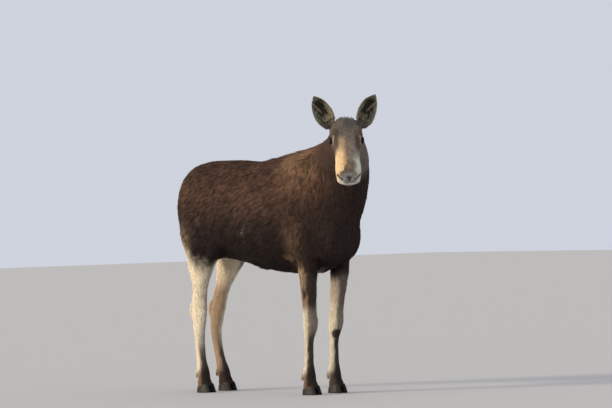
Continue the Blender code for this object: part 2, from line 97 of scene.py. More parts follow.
# The eyes: radius of the ball, the way it looks in the head's own frame, and its opening's half angles.
BALL = 0.0205
LOOK = Vector((0.34, 0.93, 0.12))
OPENING = (math.radians(64), math.radians(37))
LID = 0.0022  # thickness
TUCK = 0.007  # how far inside the ball's face the skin lies within the opening
ORBIT = (0.034, 0.0225, 0.027)  # radii of the rim of bone round a ball: forward, outward and up
CORNEA = 0.06  # how far the front of the ball stands out, against its radius

# Length of the hair, and how much longer or shorter it is in some places.
BODY_HAIR = 0.048
MANE_MORE = 0.026
BELLY_MORE = 0.014
RUMP_LESS = 0.008
FOOT_HAIR = 0.010
LEG_TOP_MORE = 0.024
POLL_HAIR = 0.024
BROW_LESS = 0.013
MUZZLE_LESS = 0.0045
CHEEK_MORE = 0.010
FORELOCK_MORE = 0.020

# Height of a lock's tip against its length, where the hair lies flat, and how much more it is elsewhere.
LIE = 0.27
MANE_RISE = 0.08
BELLY_RISE = 0.10
FORELOCK_RISE = 0.27

# The ways the hair lies: four on the body, and three in the head's own frame.
SIDE_LIE = (-0.80, 0.0, -0.60)
CHEST_LIE = (-0.22, 0.0, -0.97)
BACK_LIE = (-0.97, 0.0, -0.20)
LEG_LIE = (-0.14, 0.0, -0.99)
FACE_LIE = (-1.0, 0.0, -0.10)
CHEEK_LIE = (-0.80, 0.0, -0.60)
CHIN_LIE = (-0.35, 0.0, -0.94)


# ---------------- small helpers


def ramp(value, none, full):
    """0 at none and beyond it, 1 at full and beyond it, with an easy rise between them."""
    t = np.clip((value - none) / (full - none), 0.0, 1.0)
    return t * t * (3 - 2 * t)


def bell(value, middle, width):
    """1 in the middle, and next to nothing two widths away from it."""
    return np.exp(-(((value - middle) / width) ** 2))


def unit(vectors):
    return vectors / np.maximum(np.linalg.norm(vectors, axis=-1, keepdims=True), 1e-9)


def flat_to(vectors, normals):
    """The vectors laid along the surface with those normals."""
    return unit(vectors - normals * (vectors * normals).sum(1, keepdims=True))


def moved(points, matrix):
    """The points taken through a matrix."""
    array = np.array(matrix)
    return points @ array[:3, :3].T + array[:3, 3]


def turned(vectors, matrix):
    return vectors @ np.array(matrix)[:3, :3].T


def in_head(points):
    """The points in the head's own frame."""
    return moved(points, HEAD.inverted())


def ripple(points, reach, seed):
    """A smooth random field, mostly from -1 to 1, whose swells are about this reach apart."""
    rng = np.random.default_rng(seed)
    total = np.zeros(len(points))
    for _ in range(7):
        wave = unit(rng.normal(size=(1, 3)))[0] * (2 * math.pi / reach) * rng.uniform(0.6, 1.5)
        total += np.cos(points @ wave + rng.uniform(0, 2 * math.pi))
    return total / 3.5


def distance_to(points, start, end):
    """How far each point is from the line between two points."""
    start, end = np.array(start, float), np.array(end, float)
    along = np.clip(((points - start) @ (end - start)) / ((end - start) @ (end - start)), 0, 1)
    return np.linalg.norm(points - (start + along[:, None] * (end - start)), axis=1)


def distance_to_route(points, route):
    return np.min([distance_to(points, a, b) for a, b in zip(route, route[1:])], axis=0)


def mirrored(points):
    """The points with both sides of the head folded onto its left."""
    return points * [1, 0, 1] + np.abs(points) * [0, 1, 0]


def points_of(mesh):
    points = np.empty(len(mesh.vertices) * 3, np.float32)
    mesh.vertices.foreach_get("co", points)
    return points.reshape(-1, 3).astype(float)


def normals_of(mesh):
    normals = np.empty(len(mesh.vertices) * 3, np.float32)
    mesh.vertex_normals.foreach_get("vector", normals)
    return normals.reshape(-1, 3).astype(float)


def set_points(mesh, points):
    mesh.vertices.foreach_set("co", points.astype(np.float32).ravel())
    mesh.update()


def set_vectors(mesh, name, vectors):
    attribute = mesh.attributes.new(name, "FLOAT_VECTOR", "POINT")
    attribute.data.foreach_set("vector", vectors.astype(np.float32).ravel())


def new_object(name, mesh):
    obj = bpy.data.objects.new(name, mesh)
    bpy.context.scene.collection.objects.link(obj)
    return obj


def object_from(name, bm):
    mesh = bpy.data.meshes.new(name)
    bm.to_mesh(mesh)
    bm.free()
    return new_object(name, mesh)


def settled(obj):
    """The object, with what its modifiers make as its own mesh."""
    graph = bpy.context.evaluated_depsgraph_get()
    mesh = bpy.data.meshes.new_from_object(obj.evaluated_get(graph))
    obj.modifiers.clear()
    obj.data = mesh
    return obj


def merged(node):
    """A copy of a solid, with its loose triangles joined."""
    bm = bmesh.new()
    bm.from_mesh(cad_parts[node].data)
    bmesh.ops.remove_doubles(bm, verts=bm.verts, dist=1e-5)
    bm.normal_update()
    return bm


def add_to(whole, piece):
    mesh = bpy.data.meshes.new("piece")
    piece.to_mesh(mesh)
    piece.free()
    whole.from_mesh(mesh)
    bpy.data.meshes.remove(mesh)


# ---------------- places on the body


def ear_frame(side):
    """The way one ear points, opens, and lies across, in the body's frame."""
    name, sign = side
    mirror = Vector((1, sign, 1))
    turn = HEAD_TURN.to_3x3()
    axis = (turn @ (EAR_AXIS * mirror)).normalized()
    opening = turn @ (EAR_OPENING * mirror)
    opening = (opening - axis * opening.dot(axis)).normalized()
    outward = turn @ Vector((0, sign, 0))
    outward = (outward - axis * outward.dot(axis)).normalized()
    angle = EAR_TURN[name]
    opening = (opening * math.cos(angle) + outward * math.sin(angle)).normalized()
    return axis, opening, axis.cross(opening)


def ear_root(side):
    """The lowest point of an ear along its own length, and how long the ear is."""
    axis = np.array(ear_frame(side)[0])
    points = points_of(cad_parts[f"ear_{side[0]}"].data)
    along = points @ axis
    return points[along < along.min() + 0.01].mean(0), along.max() - along.min()


def eye_frame(side):
    """Centre of an eyeball, and the ways it looks, forward and up, in the body's frame."""
    name, sign = side
    turn = HEAD_TURN.to_3x3()
    look = (turn @ (LOOK * Vector((1, sign, 1)))).normalized()
    forward = turn @ Vector((1, 0, -0.22))
    forward = (forward - look * forward.dot(look)).normalized()
    up = look.cross(forward) * -sign
    return centre_of(f"eye_{name}"), look, forward, up


def on_head(points):
    """1 on the head and 0 on the rest of the body."""
    x, y, z = in_head(points).T
    return ramp(x, -0.07, 0.01) * ramp(z, -0.31, -0.25) * ramp(abs(y), 0.30, 0.22)


def on_legs(points):
    """1 on the legs and 0 on the rest of the body."""
    cut = np.where(points[:, 0] > LEGS_MIDDLE, FORE_CUT, HIND_CUT)
    return ramp(points[:, 2], cut + 0.06, cut - 0.02)


def on_mane(points, normals):
    """1 on the long hair along the crest of the neck and the withers."""
    crest = ramp(normals[:, 2], 0.25, 0.8) * ramp(points[:, 0], -0.20, -0.05)
    return crest * ramp(points[:, 2], 1.60, 1.68) * (1 - on_head(points))


def under_belly(points, normals):
    """1 on the fringe of the belly."""
    low = ramp(normals[:, 2], -0.35, -0.85) * ramp(points[:, 2], 0.84, 0.88)
    return low * ramp(points[:, 2], 1.15, 1.05) * (1 - on_legs(points))


def on_poll(points):
    """1 on the long hair between the ears and down the forehead."""
    x, y, z = in_head(points).T
    return ramp(x, 0.13, 0.0) * ramp(z, -0.03, 0.03) * ramp(abs(y), 0.10, 0.05) * on_head(points)


def hair_length(points, normals):
    """Length of the coat, in metres."""
    x, _, z = in_head(points).T
    length = np.full(len(points), BODY_HAIR)
    length += MANE_MORE * on_mane(points, normals)
    length += BELLY_MORE * under_belly(points, normals)
    length -= RUMP_LESS * ramp(points[:, 0], -0.2, -0.6)
    legs = FOOT_HAIR + LEG_TOP_MORE * ramp(points[:, 2], 0.10, 0.95) ** 1.2
    length += (legs - length) * on_legs(points)
    face = POLL_HAIR - BROW_LESS * ramp(x, 0.03, 0.22) - MUZZLE_LESS * ramp(x, 0.40, 0.54)
    face += CHEEK_MORE * ramp(z, -0.10, -0.20) * ramp(x, 0.40, 0.20)
    face += FORELOCK_MORE * on_poll(points)
    return length + (face - length) * on_head(points)


def hair_rise(points, normals):
    """Height of the hair's tips over the skin, as a share of its length."""
    rise = LIE + MANE_RISE * on_mane(points, normals) + BELLY_RISE * under_belly(points, normals)
    return rise + FORELOCK_RISE * on_poll(points)


def swung(ways, other, share):
    """The ways, swung towards another by this share at each point."""
    share = share[:, None]
    return ways * (1 - share) + np.array(other) * share


def comb(points, normals):
    """The way the coat lies."""
    x, _, z = in_head(points).T
    body = np.tile(SIDE_LIE, (len(points), 1))
    body = swung(body, CHEST_LIE, ramp(points[:, 0], 0.10, 0.50))
    body = swung(body, BACK_LIE, ramp(normals[:, 2], 0.55, 0.95) * (1 - on_head(points)))
    body = swung(body, LEG_LIE, on_legs(points))
    face = np.tile(FACE_LIE, (len(points), 1))
    face = swung(face, CHEEK_LIE, ramp(z, -0.02, -0.14))
    face = swung(face, CHIN_LIE, ramp(z, -0.085, -0.12) * ramp(x, 0.40, 0.48))
    return flat_to(swung(body, turned(face, HEAD_TURN), on_head(points)), normals)


# ---------------- the skin


def ear_stub(side):
    """The root of an ear, which fills its bed in the skull."""
    bm = merged(f"ear_{side[0]}")
    axis = ear_frame(side)[0]
    root, length = ear_root(side)
    cut = Vector(root) + axis * length * EAR_STUB
    geometry = bm.verts[:] + bm.edges[:] + bm.faces[:]
    bmesh.ops.bisect_plane(bm, geom=geometry, plane_co=cut, plane_no=axis, clear_outer=True)
    bmesh.ops.holes_fill(bm, edges=[edge for edge in bm.edges if edge.is_boundary])
    return bm


def orbit(side):
    """The rim of bone and lid round an eyeball."""
    bm = bmesh.new()
    centre, look, forward, up = eye_frame(side)
    turn = Matrix((forward, look, up)).transposed().to_4x4()
    shape = Matrix.Diagonal((*ORBIT, 1))
    place = Matrix.Translation(centre - look * 0.001) @ turn @ shape
    bmesh.ops.create_uvsphere(bm, u_segments=24, v_segments=16, radius=1, matrix=place)
    bmesh.ops.recalc_face_normals(bm, faces=bm.faces)
    return bm


def cast_flesh():
    """The solids of the body in one closed mesh."""
    whole = bmesh.new()
    for node in SOLIDS:
        solid = merged(node)
        for vert in solid.verts:
            vert.co += vert.normal * SWELL
        add_to(whole, solid)
    for side in SIDES:
        add_to(whole, ear_stub(side))
        add_to(whole, orbit(side))
    cast = object_from("skin", whole)
    fuse = cast.modifiers.new("fuse", "REMESH")
    fuse.mode, fuse.voxel_size = "VOXEL", GRAIN
    return largest_part(settled(cast))


def largest_part(obj):
    """The object without the small closed bubbles that a cast may hold."""
    bm = bmesh.new()
    bm.from_mesh(obj.data)
    unseen, parts = set(bm.verts), []
    while unseen:
        part = [unseen.pop()]
        for vert in part:
            others = {edge.other_vert(vert) for edge in vert.link_edges} & unseen
            unseen -= others
            part.extend(others)
        parts.append(part)
    parts.sort(key=len)
    for part in parts[:-1]:
        bmesh.ops.delete(bm, geom=part, context="VERTS")
    bm.to_mesh(obj.data)
    bm.free()
    return obj


def weigh(obj, name, weights, steps=20):
    """Gives the object a vertex group that holds these weights, in even steps."""
    group = obj.vertex_groups.new(name=name)
    level = np.round(weights * steps).astype(int)
    for step in range(1, steps + 1):
        chosen = np.flatnonzero(level == step)
        if len(chosen):
            group.add(chosen.tolist(), step / steps, "REPLACE")


def eased(obj):
    """The cast with its facets eased away, most on the trunk and neck."""
    points = points_of(obj.data)
    weigh(obj, "broad", ramp(points[:, 2], 0.90, 1.06) * (1 - on_head(points)))
    for name, steps, group in (("broad", BROAD_STEPS, "broad"), ("fine", FINE_STEPS, "")):
        ease = obj.modifiers.new(name, "SMOOTH")
        ease.factor, ease.iterations, ease.vertex_group = 0.5, steps, group
    return settled(obj)


def drawn_in(obj):
    """The skin under the coat: as far inside the solids as the coat is deep."""
    points, normals = points_of(obj.data), normals_of(obj.data)
    depth = hair_length(points, normals) * hair_rise(points, normals)
    coronet = ramp(points[:, 2], 0.095, 0.070)
    depth = depth * (1 - coronet) - POLL_PAD * on_poll(points)
    points = points - normals * (depth + leg_hollows(points, normals))[:, None]
    points[:, 2] -= CORONET_DROP * coronet
    set_points(obj.data, points)
    return obj


def leg_hollows(points, normals):
    """Depth of the hollows between bone and tendon, on both sides of every leg."""
    depth = np.zeros(len(points))
    for limb in LIMBS:
        low, high = (np.array(corner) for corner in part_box(limb))
        within = (points[:, :2] > low[:2] - 0.03) & (points[:, :2] < high[:2] + 0.03)
        rows = np.flatnonzero(within.all(1) & (points[:, 2] < high[2] + 0.02))
        level = np.round(points[rows, 2] / BAND).astype(int)
        for step in np.unique(level):
            row = rows[level == step]
            fore = points[row, 0]
            share = (fore - fore.min()) / max(np.ptp(fore), 1e-6)
            height = step * BAND
            bone = bell(share, 0.36, 0.09) * ramp(height, 0.13, 0.20) * ramp(height, 0.46, 0.36)
            depth[row] = BONE_HOLLOW * bone
            if limb.startswith("hind"):
                cord = bell(share, 0.30, 0.10) * ramp(height, 0.58, 0.66) * ramp(height, 0.90, 0.74)
                depth[row] += CORD_HOLLOW * cord
    return depth * ramp(np.abs(normals[:, 1]), 0.3, 0.7)


def thinned(obj):
    """The skin with its triangles kept mostly for the head."""
    points = points_of(obj.data)
    obj.vertex_groups.clear()
    face = ramp(in_head(points)[:, 0], 0.04, 0.12)
    weigh(obj, "thin", 1 - 0.9 * on_head(points) * face)
    thin = obj.modifiers.new("thin", "DECIMATE")
    thin.ratio, thin.vertex_group, thin.vertex_group_factor = SKIN_SHARE, "thin", 0.6
    return settled(obj)


def refined(obj, near):
    """Halves every edge where this test of the head's own coordinates says so."""
    bm = bmesh.new()
    bm.from_mesh(obj.data)
    wanted = near(in_head(points_of(obj.data)))
    edges = [edge for edge in bm.edges if all(wanted[vert.index] for vert in edge.verts)]
    bmesh.ops.subdivide_edges(bm, edges=edges, cuts=1, smooth=0.6, use_grid_fill=True)
    bmesh.ops.triangulate(bm, faces=bm.faces)
    bm.to_mesh(obj.data)
    bm.free()
    return obj


# Features of the face, in the head's own frame, on its left side.
NOSTRIL = (
    (0.5945, 0.047, -0.045),
    (0.587, 0.060, -0.035),
    (0.572, 0.072, -0.027),
    (0.557, 0.078, -0.027),
)
MOUTH = (
    (0.608, 0.000, -0.087),
    (0.594, 0.042, -0.088),
    (0.566, 0.066, -0.094),
    (0.520, 0.080, -0.106),
    (0.460, 0.084, -0.116),
    (0.412, 0.079, -0.110),
)
TEAR = ((0.226, 0.108, -0.022), (0.262, 0.098, -0.040))
BROW_RIDGE = ((0.150, 0.110, 0.018), (0.215, 0.113, 0.022))

# How deep they are pressed into the skin, or how high they stand.
NOSTRIL_DEPTH, NOSTRIL_RIM = 0.018, 0.0035
LIP_CREASE, LIP_SWELL = 0.006, 0.0035
LOWER_LIP, LOWER_LIP_TIP = 0.006, 0.008
TEAR_DEPTH, CLEFT_DEPTH, BROW_HEIGHT = 0.0035, 0.0020, 0.005


def near_eyes(local, reach):
    """Whether points in the head's own frame are this near to an eye."""
    folded = mirrored(local)
    return np.linalg.norm(folded - [BETWEEN_EYES.x, 0.106, BETWEEN_EYES.z], axis=1) < reach


def near_muzzle(local, reach):
    """Whether points in the head's own frame are this near to a nostril, or half as near to the lips."""
    nostril, mouth = (distance_to_route(mirrored(local), route) for route in (NOSTRIL, MOUTH))
    return (nostril < reach) | (mouth < reach * 0.55)


def shape_face(obj):
    """Nostrils, lips, tear grooves and brows, pressed into the skin or raised from it."""
    points, normals = points_of(obj.data), normals_of(obj.data)
    folded = mirrored(in_head(points))
    x, y, z = folded.T
    nostril = distance_to_route(folded, NOSTRIL) / (0.72 + 0.38 * ramp(x, 0.555, 0.592))
    lift = NOSTRIL_RIM * bell(nostril, 0.015, 0.005) - NOSTRIL_DEPTH * ramp(nostril, 0.011, 0.004)
    mouth = distance_to_route(folded, MOUTH)
    mouth_x, _, mouth_z = np.array(MOUTH[::-1]).T
    line = np.interp(x, mouth_x, mouth_z)
    below = ramp(line - z, 0.0, 0.007) * ramp(x, 0.42, 0.50) * ramp(z, -0.19, -0.16)
    lower = (LOWER_LIP + LOWER_LIP_TIP * ramp(x, 0.52, 0.58)) * below
    lift -= LIP_CREASE * bell(mouth, 0, 0.0035) + lower
    lift += LIP_SWELL * bell(mouth, 0.011, 0.007) * (z > line)
    lift -= TEAR_DEPTH * bell(distance_to(folded, *TEAR), 0, 0.006)
    lift -= CLEFT_DEPTH * bell(y, 0, 0.004) * ramp(z, -0.052, -0.062) * ramp(x, 0.55, 0.58)
    lift += BROW_HEIGHT * bell(distance_to(folded, *BROW_RIDGE), 0, 0.010)
    set_points(obj.data, points + normals * (lift * on_head(points))[:, None])
    return obj


def opening_spread(points, side):
    """How far out of the middle of an eye's almond each point is: 1 on the edge of the lids."""
    centre, look, forward, up = [np.array(value) for value in eye_frame(side)]
    away = points - centre
    ahead = away @ look
    fore = np.abs(np.arctan2(away @ forward, ahead)) / OPENING[0]
    high = np.arctan2(away @ up, ahead)
    high = np.abs(high) / (OPENING[1] * np.where(high > 0, 1.08, 0.92))
    return (fore**2.6 + high**1.7) ** 0.5, away, ahead


def shape_lids(obj, side):
    """The skin round one eye wrapped over the ball, with an almond left open."""
    points = points_of(obj.data)
    spread, away, ahead = opening_spread(points, side)
    radius = np.linalg.norm(away, axis=1)
    close = (radius < 0.060) & (ahead > -0.002)
    fold = 0.0014 * bell(spread, 1.22, 0.14) - 0.0016 * bell(spread, 1.58, 0.10)
    inner = BALL - TUCK + (LID + TUCK) * ramp(spread, 0.86, 1.0)
    hold = 1 - ramp(spread, 1.40, 2.2)
    outer = (BALL + LID + fold) * hold + radius * (1 - hold)
    target = np.where(spread < 1.0, inner, outer)
    change = np.where(close, target - radius, 0.0)
    set_points(obj.data, points + away / np.maximum(radius, 1e-6)[:, None] * change[:, None])
    return obj


def grow_ear(skin, side):
    """Joins one thin ear to the skin."""
    ear = object_from(f"leaf_{side[0]}", merged(f"ear_{side[0]}"))
    smooth = ear.modifiers.new("smooth", "SUBSURF")
    smooth.levels = smooth.render_levels = 2
    settled(ear)
    points, normals = points_of(ear.data), normals_of(ear.data)
    set_points(ear.data, points - normals * EAR_PELT)
    join = skin.modifiers.new(f"join_{ear.name}", "BOOLEAN")
    join.operation, join.solver, join.object = "UNION", "MANIFOLD", ear
    settled(skin)
    bpy.data.objects.remove(ear)
    return skin


def make_skin():
    """The whole skin, with its face, lids and ears, and what its material reads."""
    skin = thinned(drawn_in(eased(cast_flesh())))
    skin.vertex_groups.clear()
    refined(skin, lambda local: (local[:, 0] > 0.50) & (local[:, 2] > -0.17) | near_eyes(local, 0.047))
    refined(skin, lambda local: near_eyes(local, 0.036) | near_muzzle(local, 0.015))
    refined(skin, lambda local: near_eyes(local, 0.029))
    shape_face(skin)
    for side in SIDES:
        shape_lids(skin, side)
        grow_ear(skin, side)
    mesh = skin.data
    mesh.shade_smooth()
    points, normals = points_of(mesh), normals_of(mesh)
    set_vectors(mesh, "root", points)
    set_vectors(mesh, "facing", normals)
    set_vectors(mesh, "strand", np.tile([0.0, 0.35, 0.5], (len(points), 1)))
    set_vectors(mesh, "flare", sum(ear_colours(points, normals, side) for side in SIDES))
    mesh.materials.clear()
    mesh.materials.append(hide_material())
    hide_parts(*FLESH)
    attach(skin, "root")
    return skin


# ---------------- materials


def paint(colour):
    """A colour as a socket takes it."""
    return colour if isinstance(colour, Wire) else (*colour, 1)


class Wire:
    """A socket in a material, which sums and products can be written with."""

    def __init__(self, tree, socket=None):
        self.tree, self.socket = tree, socket

    def feed(self, sockets, values):
        """Gives sockets their values, or joins the wires to them."""
        for key, value in values.items():
            if isinstance(value, Wire):
                self.tree.links.new(value.socket, sockets[key])
            else:
                sockets[key].default_value = value

    def node(self, kind, settings=None, values=None, out=0):
        """A node of this type: its settings come first, then the values or wires of its sockets."""
        made = self.tree.nodes.new(kind)
        for name, value in (settings or {}).items():
            setattr(made, name, value)
        self.feed(made.inputs, values or {})
        return Wire(self.tree, made.outputs[out])

    def math(self, operation, first, second=0.0):
        return self.node("ShaderNodeMath", {"operation": operation}, {0: first, 1: second})

    def vector_math(self, operation, values, out="Vector"):
        return self.node("ShaderNodeVectorMath", {"operation": operation}, values, out)

    def __add__(self, other):
        return self.math("ADD", self, other)

    def __sub__(self, other):
        return self.math("SUBTRACT", self, other)

    def __rsub__(self, other):
        return self.math("SUBTRACT", other, self)

    def __mul__(self, other):
        return self.math("MULTIPLY", self, other)

    __radd__ = __add__
    __rmul__ = __mul__

    def size(self):
        return self.math("ABSOLUTE", self)

    def most(self, other):
        return self.math("MAXIMUM", self, other)

    def least(self, other):
        return self.math("MINIMUM", self, other)

    def ramp(self, none, full):
        """0 at none and beyond it, 1 at full and beyond it, with an easy rise between them."""
        if none > full:
            return 1 - self.ramp(full, none)
        settings = {"interpolation_type": "SMOOTHSTEP", "clamp": True}
        values = {"Value": self, "From Min": none, "From Max": full}
        return self.node("ShaderNodeMapRange", settings, values)

    def attribute(self, name):
        return self.node("ShaderNodeAttribute", {"attribute_name": name}, out="Vector")

    def parts(self):
        """The three numbers of a vector."""
        made = self.node("ShaderNodeSeparateXYZ", {}, {"Vector": self}).socket.node
        return [Wire(self.tree, made.outputs[axis]) for axis in range(3)]

    def seen_from(self, place, turn=(0, 0, 0), scale=(1, 1, 1)):
        """The vector in the frame that has this place, turn and scale."""
        values = {"Vector": self, "Location": place, "Rotation": turn, "Scale": scale}
        return self.node("ShaderNodeMapping", {"vector_type": "TEXTURE"}, values)

    def stretched(self, scale):
        return self.node("ShaderNodeMapping", {"vector_type": "POINT"}, {"Vector": self, "Scale": scale})

    def noise(self, scale, detail=2.0, roughness=0.5):
        values = {"Vector": self, "Scale": scale, "Detail": detail, "Roughness": roughness}
        return self.node("ShaderNodeTexNoise", {}, values)

    def spot(self, place, radii, inner=0.45, outer=1.0):
        """1 inside an oval spot and 0 outside it."""
        near = self.seen_from(place, scale=radii)
        return self.vector_math("LENGTH", {0: near}, "Value").ramp(outer, inner)

    def level_reach(self, radii):
        """How far out of the middle a point is across the first two axes, in radii of an oval."""
        near = self.seen_from((0, 0, 0), scale=radii)
        flat = self.vector_math("MULTIPLY", {0: near, 1: (1, 1, 0)})
        return self.vector_math("LENGTH", {0: flat}, "Value")

    def from_line(self, start, end):
        """How far a point is from the line between two points."""
        start, end = Vector(start), Vector(end)
        way = end - start
        shifted = self.vector_math("SUBTRACT", {0: self, 1: start})
        share = self.vector_math("DOT_PRODUCT", {0: shifted, 1: way / way.length_squared}, "Value")
        share = self.node("ShaderNodeMath", {"operation": "ADD", "use_clamp": True}, {0: share, 1: 0.0})
        foot = self.vector_math("SCALE", {0: way, "Scale": share})
        return self.vector_math("DISTANCE", {0: shifted, 1: foot}, "Value")

    def from_route(self, route):
        """How far a point is from the nearest line of a route."""
        nearest = self.from_line(route[0], route[1])
        for start, end in zip(route[1:], route[2:]):
            nearest = nearest.least(self.from_line(start, end))
        return nearest

    def blend_values(self, first, second):
        """The first number where this is 0, and the second where it is 1."""
        return first + (second - first) * self

    def blend(self, first, second):
        """The first colour where this is 0, and the second where it is 1."""
        settings = {"data_type": "RGBA", "clamp_factor": True}
        return self.node("ShaderNodeMix", settings, {0: self, 6: paint(first), 7: paint(second)}, 2)

    def times(self, shade):
        """A colour made darker or lighter by a number."""
        return self.vector_math("SCALE", {0: self, "Scale": shade})

    def bump(self, strength, distance):
        values = {"Height": self, "Strength": strength, "Distance": distance}
        return self.node("ShaderNodeBump", {}, values)

    def finish(self, colour, roughness, shine=0.5, normal=None):
        """Gives the material its colour, its roughness, how much it shines, and its relief."""
        values = {"Base Color": colour, "Roughness": roughness, "Specular IOR Level": shine}
        if normal:
            values["Normal"] = normal
        self.feed(self.tree.nodes["Principled BSDF"].inputs, values)


# Colours of the coat on the body.
CHOCOLATE = (0.044, 0.026, 0.019)
RUSSET = (0.098, 0.052, 0.035)
GOLDEN = (0.235, 0.138, 0.082)
SOOT = (0.015, 0.0095, 0.0090)
FAWN = (0.20, 0.12, 0.075)
BREECH = (0.320, 0.230, 0.155)
SCAR = (0.28, 0.23, 0.16)
WORN_THIGH = (0.24, 0.19, 0.14)

# Colours of the legs.
PALE_LEG = (0.84, 0.75, 0.58)
ASH_LEG = (0.44, 0.37, 0.29)
TAN_LEG = (0.290, 0.200, 0.128)
DARK_LEG = (0.030, 0.019, 0.015)
PALE_SHANK_PAINTED_LIGHT = (0.80, 0.70, 0.54)
WARM_THIGH = (0.36, 0.245, 0.145)
FOREARM = (0.300, 0.225, 0.165)
KNEE = (0.155, 0.112, 0.086)
PAINTED_RIM_LIGHT = (0.250, 0.155, 0.090)

# Colours of the head.
FOREHEAD = (0.188, 0.157, 0.130)
BRIDGE = (0.300, 0.246, 0.192)
MUZZLE = (0.235, 0.168, 0.118)
BUFF_PART_PAINTED_SUN = (0.78, 0.58, 0.335)
AMBER_PART_PAINTED_SUN = (0.60, 0.345, 0.150)
SILVER = (0.74, 0.70, 0.59)
BROW = (0.118, 0.082, 0.058)
LEFT_CHEEK = (0.160, 0.128, 0.105)
RIGHT_CHEEK = (0.058, 0.036, 0.026)
FORELOCK = (0.060, 0.056, 0.054)
STAR = (0.36, 0.20, 0.12)
EYELID = (0.007, 0.0055, 0.005)
GRIZZLE = (0.150, 0.140, 0.122)
NOSE = (0.046, 0.049, 0.049)
SPECKLE = (0.86, 0.83, 0.75)
CHIN = (0.165, 0.098, 0.072)
NOSTRIL_EDGE = (0.120, 0.104, 0.088)
NOSTRIL_HOLLOW = (0.036, 0.029, 0.025)
OLIVE = (0.250, 0.225, 0.145)
EAR_DARK = (0.034, 0.026, 0.018)
EAR_PALE = (0.36, 0.32, 0.22)

# Markings of the face, in the head's own frame, on its left side.
EYE_RING = (
    (0.203, 0.092, 0.040),
    (0.222, 0.097, 0.014),
    (0.238, 0.099, -0.006),
    (0.226, 0.108, -0.038),
)
LIP_RIM = (
    (0.606, 0.000, -0.078),
    (0.602, 0.030, -0.077),
    (0.597, 0.055, -0.064),
    (0.588, 0.068, -0.047),
    (0.577, 0.076, -0.033),
)
LIP_EDGE = ((0.597, 0.055, -0.070), (0.562, 0.070, -0.080), (0.505, 0.082, -0.094))


# Spots of the body: place, radii, share of them that is full, strength, raggedness and colour.
BODY_SPOTS = (
    ((-0.62, -0.10, 1.06), (0.20, 0.30, 0.22), 0.3, 0.15, 0.0, SOOT),
    ((0.31, 0.06, 1.14), (0.15, 0.6, 0.26), 0.1, 0.50, 1.6, GOLDEN),
    ((0.235, -0.14, 1.010), (0.070, 0.09, 0.034), 0.3, 0.75, 1.0, FAWN),
)


def markings(root, facing, flare):
    """Colour of the coat at a root, the same on skin and hair."""
    x, _, z = root.parts()
    ahead, _, upward = facing.parts()
    ear, pale, dark = flare.parts()
    drift = (root.noise(7.0, 3.0) - 0.5) * 0.16
    fine = root.stretched((1.4, 1.4, 0.6)).noise(30.0, 3.0, 0.6) - 0.5

    body = ((z + drift).ramp(1.10, 1.50) * (0.62 + fine * 1.4)).blend(CHOCOLATE, RUSSET)
    withers = root.spot((0.32, 0.02, 1.62), (0.36, 0.32, 0.28), 0.20) * (0.88 + fine * 1.8)
    body = withers.blend(body, GOLDEN)
    ribs = root.spot((-0.05, 0.06, 1.36), (0.30, 0.45, 0.20), 0.2) * (0.35 + fine * 1.4)
    body = ribs.blend(body, RUSSET)
    body = ((z + drift).ramp(1.46, 1.09) * 0.94).blend(body, SOOT)
    body = (x.ramp(0.36, 0.56) * z.ramp(1.60, 1.35) * 0.44).blend(body, SOOT)
    for place, radii, full, strength, ragged, colour in BODY_SPOTS:
        body = (root.spot(place, radii, full) * (strength + fine * ragged)).blend(body, colour)
    breech = (x + drift).ramp(-0.74, -0.94) * (z + drift).ramp(1.34, 1.06) * (0.75 + fine * 2.0)
    body = breech.blend(body, BREECH)
    body = body.times(mottling(root, x, ahead, upward))

    streaks = root.stretched((1, 1, 0.32)).noise(115.0, 2.0).ramp(0.50, 0.62)
    scar = root.spot((-0.155, -0.215, 1.195), (0.032, 0.08, 0.048), 0.25) * streaks * 0.8
    body = scar.blend(body, SCAR)
    thigh = root.spot((-0.705, -0.19, 1.275), (0.040, 0.08, 0.060), 0.2) * streaks * 0.5
    body = thigh.blend(body, WORN_THIGH)

    body = leg_markings(body, root, facing, drift, fine)
    body = face_markings(body, root, drift, fine)
    body = ear.blend(body, OLIVE)
    return dark.blend(pale.blend(body, EAR_PALE), EAR_DARK)


def mottling(root, x, ahead, upward):
    """Light and dark of the body's clumps, which lie as the hair does, with painted shade where the back
    and rump face up.
    """
    swept = root.seen_from((0, 0, 0), (0, math.radians(-37), 0), (2.8, 1.0, 1.0)).noise(50.0, 4.0, 0.68)
    hanging = root.stretched((1.0, 1.0, 0.36)).noise(50.0, 4.0, 0.68)
    clumps = x.ramp(0.05, 0.35).most(ahead.ramp(-0.25, -0.75)).blend_values(swept, hanging)
    wide = root.noise(11.0, 2.0) - 0.5
    # Painted shade: the back and rump are darkened where they face up.
    painted_shade_on_back = upward.ramp(0.35, 0.95) * x.ramp(0.30, 0.0) * 0.26
    return (0.40 + clumps.ramp(0.34, 0.68) * 1.02 + wide * 0.9) * (1 - painted_shade_on_back)


